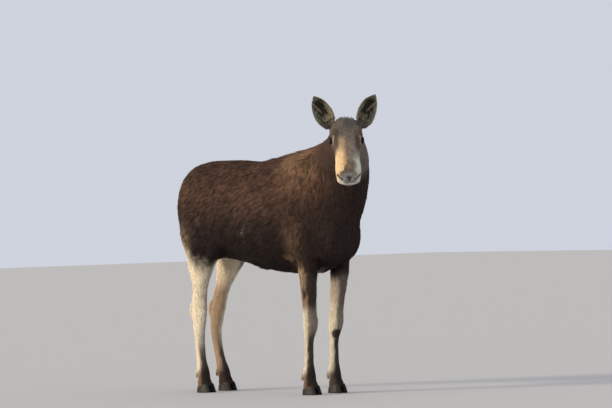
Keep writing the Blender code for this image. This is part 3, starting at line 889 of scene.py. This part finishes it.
def leg_markings(body, root, facing, drift, fine):
    """Pale legs, dark in front and at the feet."""
    x, y, z = root.parts()
    ahead, beside, _ = facing.parts()
    ragged = z + drift + fine * 0.12
    outer = (y - 0.060).ramp(-0.01, 0.01).blend_values(beside * -1.0, beside)
    hind = x.ramp(-0.30, -0.42)
    rear = ahead.ramp(0.35, -0.45)
    left = y.ramp(0.055, 0.065)
    inner = outer.ramp(0.1, -0.7)

    edge = z + drift * 0.8 + fine * 0.16
    hind_pale = (edge - rear * 0.12 - inner * 0.11).ramp(1.020, 0.850) * x.ramp(-0.54, -0.66)
    fore_pale = (edge - outer * 0.03 + ahead * 0.05).ramp(0.965, 0.855) * x.ramp(0.20, 0.28)
    fore_pale = fore_pale * (1 - left * z.ramp(0.80, 0.90) * 0.5)
    shade = (fine * 1.6 + 0.62 + drift * 2.0 + hind * outer * 0.25).blend(ASH_LEG, PALE_LEG)
    tan = (z + fine * 0.08).ramp(0.585, 0.665) * (1 - hind) * (0.50 + outer * 0.6)
    shade = tan.blend(shade, TAN_LEG)
    # The inner thigh is pale, and is painted paler still at its upper end as painted light in the shadow
    # under the belly.
    warm = (z + drift).ramp(0.90, 0.72).blend(PALE_SHANK_PAINTED_LIGHT, WARM_THIGH)
    shade = (hind * inner * 0.80).blend(shade, warm)
    upper = left * (1 - hind) * (z + drift).ramp(0.58, 0.74) * (0.55 + fine)
    shade = upper.blend(shade, FOREARM)
    body = hind.blend_values(fore_pale, hind_pale).blend(body, shade)

    front = (ahead + outer * 0.22 + drift * 1.2 + fine * 0.9).ramp(0.36, 0.80)
    high = ragged.ramp(0.36, 0.50)
    knee = high * ragged.ramp(0.68, 0.54)
    brown = (knee * 0.9).most(left * high * z.ramp(0.93, 0.84)).blend(DARK_LEG, KNEE)
    body = (front * (1 - hind) * (0.95 - knee * 0.15)).blend(body, brown)
    blotch = root.spot((0.375, -0.150, 0.735), (0.034, 0.05, 0.075), 0.35) * (0.8 + fine * 1.5)
    body = blotch.blend(body, DARK_LEG)
    hind_front = front * hind * (z + drift).ramp(0.46, 0.26)
    body = (hind_front * 0.9).blend(body, DARK_LEG)
    patch = root.spot((0.380, 0.182, 0.430), (0.060, 0.058, 0.048), 0.75)
    body = (patch * 0.92).blend(body, DARK_LEG)
    foot = (z + drift * 0.5 - ahead * 0.06 + fine * 0.06).ramp(0.200, 0.100)
    # Painted rim light: the backs of the right feet, which face the key light, are painted tan.
    wear_and_rim_light = ahead.ramp(0.50, -0.10) * (1 - left) * (0.75 + fine * 1.8)
    body = (foot * 0.94).blend(body, DARK_LEG)
    return (foot * wear_and_rim_light * 0.85).blend(body, PAINTED_RIM_LIGHT)


class FacePlace:
    """Where a root is in the head's own frame, and how uneven the edges of markings are there."""

    def __init__(self, root, drift, fine):
        self.root, self.drift, self.fine = root, drift, fine
        self.local = root.seen_from(HEAD.translation, HEAD_TURN.to_euler())
        self.x, self.y, self.z = self.local.parts()
        self.aside = self.y.size()
        folded = {"X": self.x, "Y": self.aside, "Z": self.z}
        self.folded = root.node("ShaderNodeCombineXYZ", {}, folded)
        self.wander = drift * 0.08 + fine * 0.014
        self.right = self.y.ramp(0.012, -0.012)


def face_markings(body, root, drift, fine):
    """Colour of the head over that of the body."""
    at = FacePlace(root, drift, fine)
    face = brow_and_cheeks(at)
    face = muzzle_sides(at, face)
    face = forelock_and_star(at, face)
    face = eye_rims(at, face)
    face = lips_and_nose(at, face)
    head = at.x.ramp(-0.06, 0.05) * at.z.ramp(-0.31, -0.24) * at.aside.ramp(0.30, 0.22)
    return head.blend(body, face)


def brow_and_cheeks(at):
    """Grey forehead and bridge, dark over the eyes, with the left cheek paler than the right."""
    x, z = at.x, at.z
    face = (x + at.drift).ramp(0.16, 0.30).blend(FOREHEAD, BRIDGE)
    face = (x + at.drift).ramp(0.44, 0.52).blend(face, MUZZLE)
    face = face.times(0.80 + at.fine * 1.3)
    brow = ((at.aside + at.wander) - 0.048).ramp(0.0, 0.014) * x.ramp(0.34, 0.29) * x.ramp(0.10, 0.17)
    face = brow.blend(face, BROW)
    cheek = (z + at.wander * 2).ramp(-0.010, -0.060)
    cheek = cheek * z.ramp(-0.075, -0.115).most((x + at.wander).ramp(0.375, 0.325))
    return cheek.blend(face, at.right.blend(LEFT_CHEEK, RIGHT_CHEEK))


def muzzle_sides(at, face):
    """The broad buff stripe down the right side of the muzzle, whose warm buff and amber are partly
    painted sunlight, and the silver of the left side.
    """
    x, fine, aside = at.x, at.fine, at.aside + at.wander
    inner = aside - x.ramp(0.51, 0.592) * 0.044 - 0.011
    outer = x.ramp(0.27, 0.46) * 0.075 - aside + 0.050
    flank = at.z.ramp(-0.118, -0.070)
    soft = 0.022 - x.ramp(0.30, 0.44) * 0.012
    fade = (outer + soft * 0.4).ramp(-0.016, 0.022)
    ragged = fine * (0.010 + x.ramp(0.46, 0.54) * 0.050)
    stripe = (inner + ragged).ramp(-0.008, 0.012) * fade * flank * at.right
    strength = (x + at.drift * 0.6).ramp(0.185, 0.235) * (0.36 + x.ramp(0.27, 0.40) * 0.56 + fine * 0.4)
    # The pale stripe is a marking; its warm buff and amber on the sunlit right side are partly painted
    # sunlight.
    face = (stripe * strength).blend(face, aside.ramp(0.046, 0.018).blend(BUFF_PART_PAINTED_SUN, AMBER_PART_PAINTED_SUN))

    edge = aside - 0.046 - x.ramp(0.56, 0.59) * 0.006
    left = (edge + fine * 0.02).ramp(-0.022, 0.022) * (1 - at.right)
    left = left * (x + at.z * -0.3).ramp(0.33, 0.47) * flank
    return (left * (0.76 + fine * 1.2)).blend(face, SILVER)


def forelock_and_star(at, face):
    """The dark hair between the ears, and a faint star on the bridge."""
    tuft = at.local.spot((0.085, 0.006, 0.060), (0.060, 0.048, 0.06), 0.2) * (0.55 + at.fine * 2.5)
    face = tuft.blend(face, FORELOCK)
    star = at.local.spot((0.368, 0.016, 0.03), (0.030, 0.011, 0.03), 0.4) * 0.45
    return star.blend(face, STAR)


def eye_rims(at, face):
    """Dark hair round the sockets, which also holds painted shade in them, and black lids, with a pale
    ring in front of them.
    """
    # Dark hair round each eye, which also stands for painted shade in the socket.
    socket = at.folded.spot((0.194, 0.108, -0.010), (0.034, 0.060, 0.027), 0.72) * 0.92
    face = socket.blend(face, SOOT)
    ring = (at.folded.from_route(EYE_RING) + at.wander * 0.3).ramp(0.0078, 0.0030)
    face = (ring * 0.48).blend(face, SILVER)
    lids = at.folded.spot((0.194, 0.108, -0.001), (0.027, 0.060, 0.021), 0.85)
    return lids.blend(face, EYELID)


def lips_and_nose(at, face):
    """The grizzled end of the muzzle, speckled lips, chin, mouth, nostrils and the bare nose patch."""
    x, z, folded, wander = at.x, at.z, at.folded, at.wander
    speckles = at.root.noise(260.0, 1.0).ramp(0.44, 0.58)
    end = (x + wander).ramp(0.566, 0.588) * (at.aside + wander).ramp(0.074, 0.060)
    face = (end * 0.85).blend(face, GRIZZLE)
    face = (end * speckles * 0.46).blend(face, SPECKLE)
    rim = (folded.from_route(LIP_RIM) + wander * 0.5).ramp(0.0135, 0.0060)
    lip = folded.from_route(LIP_EDGE).ramp(0.014, 0.006) * 0.60
    face = (rim.most(lip) * (0.34 + speckles * 0.66)).blend(face, SPECKLE)
    edge = z + x.ramp(0.60, 0.42) * 0.028
    chin = (edge + wander * 0.3).ramp(-0.087, -0.092) * x.ramp(0.38, 0.46)
    face = chin.blend(face, CHIN)
    mouth = folded.from_route(MOUTH).ramp(0.006, 0.003)
    face = (mouth * 0.9).blend(face, SOOT)
    hole = folded.from_route(NOSTRIL)
    face = (hole.ramp(0.0130, 0.0085) * 0.75).blend(face, NOSTRIL_EDGE)
    face = (hole.ramp(0.0080, 0.0045) * 0.85).blend(face, NOSTRIL_HOLLOW)
    patch = ((z + 0.066) * 0.36 - at.aside + wander * 0.6).ramp(-0.007, 0.006)
    patch = patch * x.ramp(0.575, 0.585) * z.ramp(-0.008, -0.020)
    return patch.blend(face, NOSE)


def new_material(name):
    """A material, and a wire to begin its nodes with."""
    material = bpy.data.materials.new(name)
    material.use_nodes = True
    return material, Wire(material.node_tree)


def hide_material():
    """Skin under the coat, with the short hair that lies flat on face and legs as relief."""
    material, wire = new_material("moose_hide")
    root = wire.attribute("root")
    colour = markings(root, wire.attribute("facing"), wire.attribute("flare"))
    local = root.seen_from(HEAD.translation, HEAD_TURN.to_euler())
    x, _, z = local.parts()
    head = x.ramp(-0.06, 0.03) * z.ramp(-0.30, -0.25)
    face_hair = local.stretched((0.10, 1.0, 1.0)).noise(700.0, 2.0)
    leg_hair = root.stretched((1.0, 1.0, 0.10)).noise(600.0, 2.0)
    hair = head.blend_values(leg_hair, face_hair)
    bare = local.spot((0.606, 0.0, -0.036), (0.030, 0.020, 0.026), 0.75)
    grain = root.node("ShaderNodeTexVoronoi", {}, {"Vector": root, "Scale": 260.0}, out="Distance")
    relief = bare.blend_values(hair, grain).bump(0.55, 0.0016)
    wire.finish(colour.times(0.62 + hair * 0.55), 0.80 - bare * 0.45, 0.18, relief)
    return material


def coat_material():
    """Hair: each lock takes its colour at its root, and lightens to its tip; the darker part near the
    root is painted shade between the locks.
    """
    _, wire = new_material("moose_coat")
    across, along, chance = wire.attribute("strand").parts()
    colour = markings(wire.attribute("root"), wire.attribute("facing"), wire.attribute("flare"))
    strands = {"X": across * 3.2 + chance * 91.0, "Y": along * 0.9 + chance * 37.0}
    hairs = wire.node("ShaderNodeCombineXYZ", {}, strands).noise(2.6, 2.0)
    # Random tone of each lock and its strands, with painted shade that darkens it towards its root.
    shade = (0.42 + chance * 0.66 + along * 0.52) * (0.55 + hairs * 0.90)
    wire.finish(colour.times(shade), 0.72, 0.12, hairs.bump(0.5, 0.0012))


HORN_BLACK = (0.008, 0.007, 0.006)
HORN_BROWN = (0.024, 0.019, 0.016)
HORN_DUST = (0.10, 0.082, 0.062)


def horn_material():
    """Black-brown horn with rings of growth, and pale wear at the edge."""
    material, wire = new_material("moose_horn")
    place = wire.node("ShaderNodeTexCoord", out="Object")
    rings = place.stretched((0.3, 0.3, 1.0)).noise(220.0, 3.0)
    dust = place.noise(38.0, 3.0).ramp(0.45, 0.70)
    # The horn's lowest edge is paler where it wears.
    wear_and_rim_light = place.parts()[2].ramp(0.03, 0.0) * 0.3
    colour = (rings * 0.6 + wear_and_rim_light).blend(HORN_BLACK, HORN_BROWN)
    colour = (dust * 0.10).blend(colour, HORN_DUST)
    wire.finish(colour, 0.48 + dust * 0.25, 0.22, rings.bump(0.35, 0.0015))
    return material


IRIS = (0.0135, 0.0125, 1.0)  # radii
PUPIL = (0.0072, 0.0042, 1.0)
IRIS_DARK = (0.008, 0.0045, 0.003)
IRIS_BROWN = (0.024, 0.012, 0.0065)
IRIS_RIM = (0.006, 0.004, 0.003)
BALL_BROWN = (0.028, 0.019, 0.015)
PUPIL_BLACK = (0.002, 0.002, 0.003)


def eye_material(side):
    """A dark brown iris round a pupil that lies level."""
    material, wire = new_material(f"moose_eye_{side[0]}")
    centre, look, forward, up = eye_frame(side)
    turn = Matrix((forward, up, look)).transposed()
    if turn.determinant() < 0:
        turn = Matrix((-forward, up, look)).transposed()
    place = wire.node("ShaderNodeTexCoord", out="Object").seen_from(centre, turn.to_euler())
    rays = place.stretched((1, 1, 0)).noise(420.0, 2.0)
    iris = place.level_reach(IRIS)
    colour = rays.blend(IRIS_DARK, IRIS_BROWN)
    colour = iris.ramp(0.72, 1.05).blend(colour, IRIS_RIM)
    colour = iris.ramp(1.18, 1.32).blend(colour, BALL_BROWN)
    colour = place.level_reach(PUPIL).ramp(1.05, 0.90).blend(colour, PUPIL_BLACK)
    wire.finish(colour, 0.06, 0.25)
    return material


# ---------------- hair

PATCH = 0.003  # side of a lock's patch on the flat layout of the skin
# A lock's cross-sections: share of its length, share of its width, and share of its tip's height.
LEVELS = ((0.0, 0.72, -0.10), (0.5, 1.0, 0.72))
RIDGE = 0.30  # height of a lock's ridge against its width
LOCK_FACES = ((0, 1, 4), (0, 4, 3), (1, 2, 5), (1, 5, 4), (3, 4, 6), (4, 5, 6))
LOCK_UV = ((0.0, 0.0), (0.5, 0.0), (1.0, 0.0), (0.0, 0.5), (0.5, 0.5), (1.0, 0.5), (0.5, 1.0))

# How many locks each region has.
TRUNK_LOCKS = 24000  # in each quarter
NECK_LOCKS = 28000
HEAD_LOCKS = 25000  # on each side
LEG_LOCKS = 24500  # on each pair
EAR_LOCKS = 9500  # on each
CORONET_LOCKS = 7500
LASHES = 90  # on each eye


class Ground:
    """The skin as a place for hair: its triangles, and the nearest point of it to another."""

    def __init__(self, mesh):
        self.points, self.normals = points_of(mesh), normals_of(mesh)
        mesh.calc_loop_triangles()
        corners = np.empty(len(mesh.loop_triangles) * 3, np.int32)
        mesh.loop_triangles.foreach_get("vertices", corners)
        self.corners = corners.reshape(-1, 3)
        a, b, c = (self.points[self.corners[:, i]] for i in range(3))
        self.areas = np.linalg.norm(np.cross(b - a, c - a), axis=1) / 2
        self.middles = (a + b + c) / 3
        self.faces = unit(self.normals[self.corners].sum(1))
        self.tree = BVHTree.FromPolygons(self.points.tolist(), self.corners.tolist())

    def roots(self, weights, count, rng):
        """Points spread over the triangles as thickly as the weights say, and the normals there."""
        share = np.cumsum(self.areas * weights)
        places = (np.arange(count) + rng.random(count)) / count * share[-1]
        chosen = self.corners[np.minimum(np.searchsorted(share, places), len(share) - 1)]
        u, v = rng.random(count), rng.random(count)
        fold = u + v > 1
        u, v = np.where(fold, 1 - u, u), np.where(fold, 1 - v, v)
        mix = np.stack([1 - u - v, u, v], 1)[:, :, None]
        return (self.points[chosen] * mix).sum(1), unit((self.normals[chosen] * mix).sum(1))

    def nearest(self, points):
        """The skin's nearest points to these, and its normals there."""
        found = [self.tree.find_nearest(point) for point in points.tolist()]
        places = np.array([hit[0] for hit in found])
        index = np.array([hit[2] for hit in found])
        return places, self.faces[index]


def flat_layout(points, normals, group):
    """Each root's place on the skin laid flat: six sides of each group, set out in one square."""
    side = np.abs(normals).argmax(1)
    chart = group * 6 + side * 2 + (normals[np.arange(len(normals)), side] > 0)
    charts = int(group.max() + 1) * 6
    columns = math.ceil(math.sqrt(charts))
    place = np.zeros((len(points), 2))
    for number in np.unique(chart):
        here = chart == number
        kept = [axis for axis in range(3) if axis != number % 6 // 2]
        flat = points[here][:, kept]
        low, reach = flat.min(0), max(float(np.ptp(flat, axis=0).max()), 0.01)
        cell = np.array([number % columns, number // columns])
        place[here] = (cell + 0.03 + 0.92 * (flat - low) / reach) / columns
    return place


def lock_points(roots, normals, ways, lengths, widths, heights, rng, ground):
    """The points of each lock: a ridged blade from its root to its tip."""
    tips, tip_normals = roots + ways * lengths[:, None], normals
    if ground:
        tips, tip_normals = ground.nearest(tips)
    chord = tips - roots
    turn = ((tip_normals - normals) * ways).sum(1)
    bulge = np.clip(np.linalg.norm(chord, axis=1) * turn / 8, -0.004, 0.02)
    middle_normals = unit(normals + tip_normals)
    tilt = rng.normal(0, 0.35, len(roots))[:, None]
    across = unit(np.cross(normals, ways) + normals * tilt)
    rows = []
    for at, broad, high in LEVELS:
        up = middle_normals if at else normals
        spine = roots + chord * at + up * (heights * high + bulge * 4 * at * (1 - at))[:, None]
        half = across * (widths * broad / 2)[:, None]
        rows += [spine - half, spine + up * (widths * broad * RIDGE)[:, None], spine + half]
    rows.append(tips + tip_normals * heights[:, None])
    return np.stack(rows, 1)


def locks(name, roots, normals, ways, sizes, rng, ground=None, flare=None, group=None):
    """Hair as one mesh, whose locks have these lengths, widths and heights of tip."""
    points = lock_points(roots, normals, ways, *sizes, rng, ground)
    count, size = points.shape[:2]
    faces = np.array(LOCK_FACES)[None] + (np.arange(count) * size)[:, None, None]
    mesh = bpy.data.meshes.new(name)
    mesh.from_pydata(points.reshape(-1, 3), [], faces.reshape(-1, 3).tolist())
    mesh.shade_smooth()
    offsets = np.array(LOCK_UV)
    strand = np.empty((count, size, 3))
    strand[:, :, :2] = offsets
    strand[:, :, 2] = rng.random(count)[:, None]
    set_vectors(mesh, "root", np.repeat(roots, size, axis=0))
    set_vectors(mesh, "facing", np.repeat(normals, size, axis=0))
    set_vectors(mesh, "strand", strand.reshape(-1, 3))
    flare = np.zeros((count, 3)) if flare is None else flare
    set_vectors(mesh, "flare", np.repeat(flare, size, axis=0))
    layout = flat_layout(roots, normals, np.zeros(count, int) if group is None else group)
    patches = layout[:, None, :] + (offsets - 0.5)[None] * PATCH
    corners = patches[:, np.array(LOCK_FACES).ravel(), :].reshape(-1, 2)
    layer = mesh.uv_layers.new(name="OFBake")
    layer.uv.foreach_set("vector", corners.astype(np.float32).ravel())
    obj = new_object(name, mesh)
    mesh.materials.append(bpy.data.materials["moose_coat"])
    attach(obj, "root")


def swirled(ways, normals, angles):
    """The ways turned about the normals."""
    c, s = np.cos(angles)[:, None], np.sin(angles)[:, None]
    return unit(ways * c + np.cross(normals, ways) * s)


def lock_width(length):
    return 0.0010 + 0.062 * length


def lay_coat(name, ground, share, count, seed, narrow=1.0, group=None):
    """Hair where the share of each triangle says, with the body's own length, lie and height."""
    rng = np.random.default_rng(seed)
    length = hair_length(ground.middles, ground.faces)
    roots, normals = ground.roots(share / (length * lock_width(length)), count, rng)
    length = hair_length(roots, normals)
    clump = ripple(roots, 0.055, 21) * ripple(roots, 0.11, 22)
    angles = 0.20 * ripple(roots, 0.30, 11) + 0.20 * ripple(roots, 0.06, 12) + rng.normal(0, 0.12, count)
    ways = swirled(comb(roots, normals), normals, angles)
    stand = np.clip(rng.uniform(0.45, 1.0, count) + 0.30 * clump, 0.2, 1.15)
    heights = length * hair_rise(roots, normals) * stand
    lengths = length * rng.uniform(0.75, 1.1, count)
    widths = lock_width(length) * rng.uniform(0.7, 1.2, count) * narrow
    groups = group(roots) if group else None
    locks(name, roots, normals, ways, (lengths, widths, heights), rng, ground, group=groups)


def by_side(points):
    """1 on the left of the trunk's middle, and 0 on its right."""
    return (points[:, 1] > centre_of("trunk").y).astype(int)


def by_leg(points):
    """A number from 0 to 3 for each leg."""
    return (points[:, 0] > LEGS_MIDDLE).astype(int) * 2 + by_side(points)


def growth(points):
    """1 where hair may grow; 0 in the nostrils and mouth, on the nose patch and on the eyes."""
    local = mirrored(in_head(points))
    x, y, z = local.T
    nostril = ramp(distance_to_route(local, NOSTRIL), 0.0045, 0.0085)
    patch = (0.42 * (z + 0.066) > y - 0.002) & (x > 0.58) & (z < -0.013)
    mouth = ramp(distance_to_route(local, MOUTH), 0.002, 0.005)
    keep = nostril * mouth * (1 - patch)
    for side in SIDES:
        spread, away, ahead = opening_spread(points, side)
        near = (np.linalg.norm(away, axis=1) < 0.035) & (ahead > 0)
        keep = np.where(near & (spread < 1.16), 0.0, keep)
    return keep


def make_coat(skin):
    """All the hair: trunk in quarters, neck, head in halves, legs in pairs, coronets, ears, lashes."""
    coat_material()
    ground = Ground(skin.data)
    points = ground.middles
    furred = 1 - np.maximum(*(ear_places(points, side)[2] for side in SIDES))
    head, legs = on_head(points) >= 0.5, on_legs(points) >= 0.5
    flesh = furred * ~head * ~legs
    neck = ramp(points[:, 0] + 0.45 * (points[:, 2] - 1.5), 0.34, 0.36)
    grown = head * furred * growth(points)
    ends = (("fore", 1), ("hind", -1))

    for side, sign in SIDES:
        beside = (points[:, 1] - centre_of("trunk").y) * sign > 0
        for part, forward in ends:
            share = flesh * (1 - neck) * beside * ((points[:, 0] + 0.25) * forward > 0)
            seed = 40 + 2 * sign + forward
            lay_coat(f"coat_trunk_{part}_{side}", ground, share, TRUNK_LOCKS, seed)
    lay_coat("coat_neck", ground, flesh * neck, NECK_LOCKS, 51)
    for side, sign in SIDES:
        share = grown * (in_head(points)[:, 1] * sign > 0)
        lay_coat(f"coat_head_{side}", ground, share, HEAD_LOCKS, 60 + sign, 0.85)
    for part, forward in ends:
        share = legs * ((points[:, 0] - LEGS_MIDDLE) * forward > 0)
        lay_coat(f"coat_{part}legs", ground, share, LEG_LOCKS, 70 + forward, 0.9, by_side)
    lay_coronets(ground)
    for side in SIDES:
        lay_ear(side, ground)
        lay_lashes(side)


def ear_outward(side):
    """The way across an ear that points away from the middle of the head."""
    across = np.array(ear_frame(side)[2])
    return across * np.sign(across @ np.array(HEAD_TURN.to_3x3() @ Vector((0, side[1], 0))))


def ear_places(points, side):
    """Each point's share of an ear's length, its way off the middle line, and 1 on the ear's leaf."""
    axis = np.array(ear_frame(side)[0])
    root, length = ear_root(side)
    along = (points - root) @ axis / length
    near = np.linalg.norm(points - root - np.outer(along * length, axis), axis=1) < 0.10
    return along, (points - root) @ ear_outward(side), near * ramp(along, 0.10, 0.16) * (along < 1.1)


def ear_colours(points, normals, side):
    """Olive of an ear, the pale streak in its cup, and the dark of the cup."""
    opening = np.array(ear_frame(side)[1])
    along, aside, leaf = ear_places(points, side)
    inside = ramp(normals @ opening, 0.05, 0.40)
    dark = inside * ramp(np.abs(aside), 0.060, 0.042) * ramp(along, 0.93, 0.80)
    line = np.abs(aside - 0.050 + 0.075 * (1 - along))
    pale = inside * ramp(line, 0.012, 0.004) * ramp(along, 0.42, 0.55) * ramp(along, 0.92, 0.80)
    base = inside * ramp(along, 0.36, 0.22)
    pale = np.maximum(0.75 * pale, 0.5 * base * (ripple(points, 0.02, 7) > 0.3))
    return np.stack([leaf, pale * leaf, dark * (1 - pale) * leaf], 1)


def lay_ear(side, ground):
    """Short hair on an ear's back, and longer hair that crosses its cup from the rims."""
    count = EAR_LOCKS
    rng = np.random.default_rng(80 + side[1])
    axis, opening = [np.array(way) for way in ear_frame(side)[:2]]
    roots, normals = ground.roots(ear_places(ground.middles, side)[2], count, rng)
    along, aside, _ = ear_places(roots, side)
    inside = ramp(normals @ opening, 0.10, 0.45)
    ways = np.tile(axis, (count, 1)) + np.outer(-0.30 * np.sign(aside) * inside, ear_outward(side))
    ways = flat_to(ways + rng.normal(0, 0.16, (count, 3)), normals)
    rim = ramp(np.abs(aside), 0.030, 0.050)
    fringe = inside * (rng.random(count) < 0.15 * np.maximum(rim, ramp(along, 0.40, 0.25)))
    lengths = (0.012 + 0.005 * (1 - along) + 0.016 * fringe) * rng.uniform(0.7, 1.15, count)
    widths = 0.0019 * rng.uniform(0.7, 1.2, count)
    heights = lengths * (0.16 + 0.25 * np.maximum(inside, rim) * rng.random(count))
    flare = ear_colours(roots, normals, side)
    flare[:, 0] = 1.0
    flare[:, 1] = np.maximum(flare[:, 1], 0.55 * fringe)
    flare[:, 2] *= 1 - fringe
    sizes = (lengths, widths, heights)
    locks(f"coat_ear_{side[0]}", roots, normals, ways, sizes, rng, flare=flare)


def by_dewclaws(points):
    """1 on the skin over the roots of the dewclaws."""
    near = np.zeros(len(points))
    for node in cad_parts:
        if node.startswith("dewclaw_"):
            away = np.linalg.norm(points - np.array(centre_of(node)) - (0.004, 0, 0.014), axis=1)
            near = np.maximum(near, ramp(away, 0.034, 0.020))
    return near


def lay_coronets(ground):
    """Hair that falls from the coronets over the tops of the hooves."""
    count = CORONET_LOCKS
    rng = np.random.default_rng(95)
    high, up = ground.middles[:, 2], ground.faces[:, 2]
    share = ramp(high, 0.046, 0.056) * ramp(high, 0.100, 0.085) * (up > -0.6)
    share = np.maximum(share, 0.8 * by_dewclaws(ground.middles))
    roots, normals = ground.roots(share, count, rng)
    behind = by_dewclaws(roots)
    ways = unit(np.array([0.10, 0.0, -1.0]) + 0.22 * normals + rng.normal(0, 0.10, (count, 3)))
    ways = unit(ways + np.outer(behind, (-0.30, 0.0, 0.0)))
    lengths = 0.014 + 0.10 * (np.minimum(roots[:, 2], 0.10) - 0.05) + 0.006 * behind
    lengths *= rng.uniform(0.8, 1.25, count)
    widths = 0.0022 * rng.uniform(0.7, 1.2, count)
    heights = 0.002 + 0.006 * behind * rng.random(count)
    sizes = (lengths, widths, heights)
    locks("coat_coronets", roots, normals, ways, sizes, rng, group=by_leg(roots))


def lay_lashes(side):
    """Lashes along the upper lid."""
    count = LASHES
    rng = np.random.default_rng(90 + side[1])
    centre, look, forward, up = [np.array(value) for value in eye_frame(side)]
    turn = np.linspace(-0.95, 0.95, count) + rng.normal(0, 0.01, count)
    fore = np.sin(turn * math.pi / 2) * OPENING[0] * 1.02
    high = np.cos(turn * math.pi / 2) * OPENING[1] * 1.10
    rays = unit(look + np.outer(np.tan(fore), forward) + np.outer(np.tan(high), up))
    roots = centre + rays * (BALL + LID - 0.0006)
    ways = unit(rays + 0.30 * up + np.outer(0.5 * turn, forward) + rng.normal(0, 0.06, (count, 3)))
    normals = flat_to(np.tile(up, (count, 1)), ways)
    sizes = (0.012 * rng.uniform(0.7, 1.1, count), np.full(count, 0.0009), np.full(count, 0.002))
    flare = np.tile([0.0, 0.0, 1.0], (count, 1))
    locks(f"lashes_{side[0]}", roots, normals, ways, sizes, rng, flare=flare)


# ---------------- eyes, hooves and dewclaws

HOOF_EDGE = 0.0025  # width of the rounding
BALL_SET = 0.0006  # how far a ball is set back behind its lids


def dressed(piece, material, node):
    """Gives a piece its material, hides the solid that it stands in for, and attaches it to the body's
    root.
    """
    piece.data.shade_smooth()
    piece.data.materials.clear()
    piece.data.materials.append(material)
    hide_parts(node)
    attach(piece, "root")


def make_eye(side):
    """A ball with a cornea that stands a little proud of it."""
    centre, look = eye_frame(side)[:2]
    turn = look.to_track_quat("Z", "Y").to_matrix().to_4x4()
    bm = bmesh.new()
    bmesh.ops.create_uvsphere(bm, u_segments=64, v_segments=40, radius=BALL)
    for vert in bm.verts:
        out = math.hypot(vert.co.x, vert.co.y) / BALL
        if vert.co.z > 0:
            vert.co *= 1 + CORNEA * math.exp(-((out / 0.62) ** 4))
    place = Matrix.Translation(centre - look * BALL_SET) @ turn
    bmesh.ops.transform(bm, matrix=place, verts=bm.verts)
    dressed(object_from(f"eyeball_{side[0]}", bm), eye_material(side), f"eye_{side[0]}")


def make_hoof_or_claw(node, horn):
    """One solid of horn, rounded."""
    bm = merged(node)
    bmesh.ops.dissolve_limit(bm, angle_limit=math.radians(1), verts=bm.verts, edges=bm.edges)
    piece = object_from(f"horn_{node}", bm)
    if node.startswith("hoof_"):
        edge = piece.modifiers.new("edge", "BEVEL")
        edge.width, edge.segments, edge.limit_method = HOOF_EDGE, 2, "ANGLE"
        edge.angle_limit = math.radians(50)
    smooth = piece.modifiers.new("smooth", "SUBSURF")
    smooth.levels = smooth.render_levels = 2
    dressed(settled(piece), horn, node)


def make_horn():
    """All the hooves and dewclaws."""
    horn = horn_material()
    for node in sorted(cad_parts):
        if node.startswith(("hoof_", "dewclaw_")):
            make_hoof_or_claw(node, horn)


# ---------------- studio


FLOOR_GREY = (0.46, 0.455, 0.445)
SKY_BLUE = (0.86, 0.90, 1.0)
SKY_STRENGTH = 0.72


def make_floor():
    bm = bmesh.new()
    bmesh.ops.create_grid(bm, x_segments=1, y_segments=1, size=60)
    floor = object_from("floor", bm)
    material, wire = new_material("floor_pale")
    wire.finish(paint(FLOOR_GREY), 0.8)
    floor.data.materials.append(material)


def make_sun(name, way, strength, width, colour):
    """A broad lamp far off, whose light comes from this way."""
    light = bpy.data.lights.new(name, "SUN")
    light.energy, light.angle, light.color = strength, math.radians(width), colour
    lamp = new_object(name, light)
    lamp.rotation_euler = Vector(way).to_track_quat("Z", "Y").to_euler()


def make_studio():
    bpy.context.scene.view_settings.view_transform = "Standard"
    world = bpy.data.worlds.new("studio")
    bpy.context.scene.world = world
    world.use_nodes = True
    sky = world.node_tree.nodes["Background"]
    sky.inputs["Color"].default_value = paint(SKY_BLUE)
    sky.inputs["Strength"].default_value = SKY_STRENGTH
    make_sun("key", (-0.40, -0.86, 0.34), 3.5, 16, (1.0, 0.84, 0.64))
    make_sun("fill", (0.90, 0.10, 0.42), 0.5, 50, (0.86, 0.92, 1.0))


VIEW_TURN = math.radians(48)  # from square on the moose's right towards its front
VIEW_DISTANCE, VIEW_HEIGHT = 30.0, 1.35
VIEW_ROLL = math.radians(-1.5)
VIEW_FOOT = Vector((-0.128, 0.059, 0.0))  # the point on the floor that the distance is taken from
VIEW_LENS = 241.8
VIEW_SHIFT = (0.0507, 0.0065)


def make_camera():
    camera = new_object("camera", bpy.data.cameras.new("camera"))
    away = Vector((math.sin(VIEW_TURN), -math.cos(VIEW_TURN), 0)) * VIEW_DISTANCE
    level = Matrix.Rotation(VIEW_TURN, 4, "Z") @ Matrix.Rotation(math.radians(90), 4, "X")
    place = Matrix.Translation(VIEW_FOOT + away + Vector((0, 0, VIEW_HEIGHT)))
    camera.matrix_world = place @ level @ Matrix.Rotation(VIEW_ROLL, 4, "Z")
    camera.data.lens = VIEW_LENS
    camera.data.shift_x, camera.data.shift_y = VIEW_SHIFT
    camera.data.clip_end = 200
    bpy.context.scene.camera = camera


# ---------------- the moose

make_camera()
make_floor()
make_studio()
moose_skin = make_skin()
make_coat(moose_skin)
for eye_side in SIDES:
    make_eye(eye_side)
make_horn()
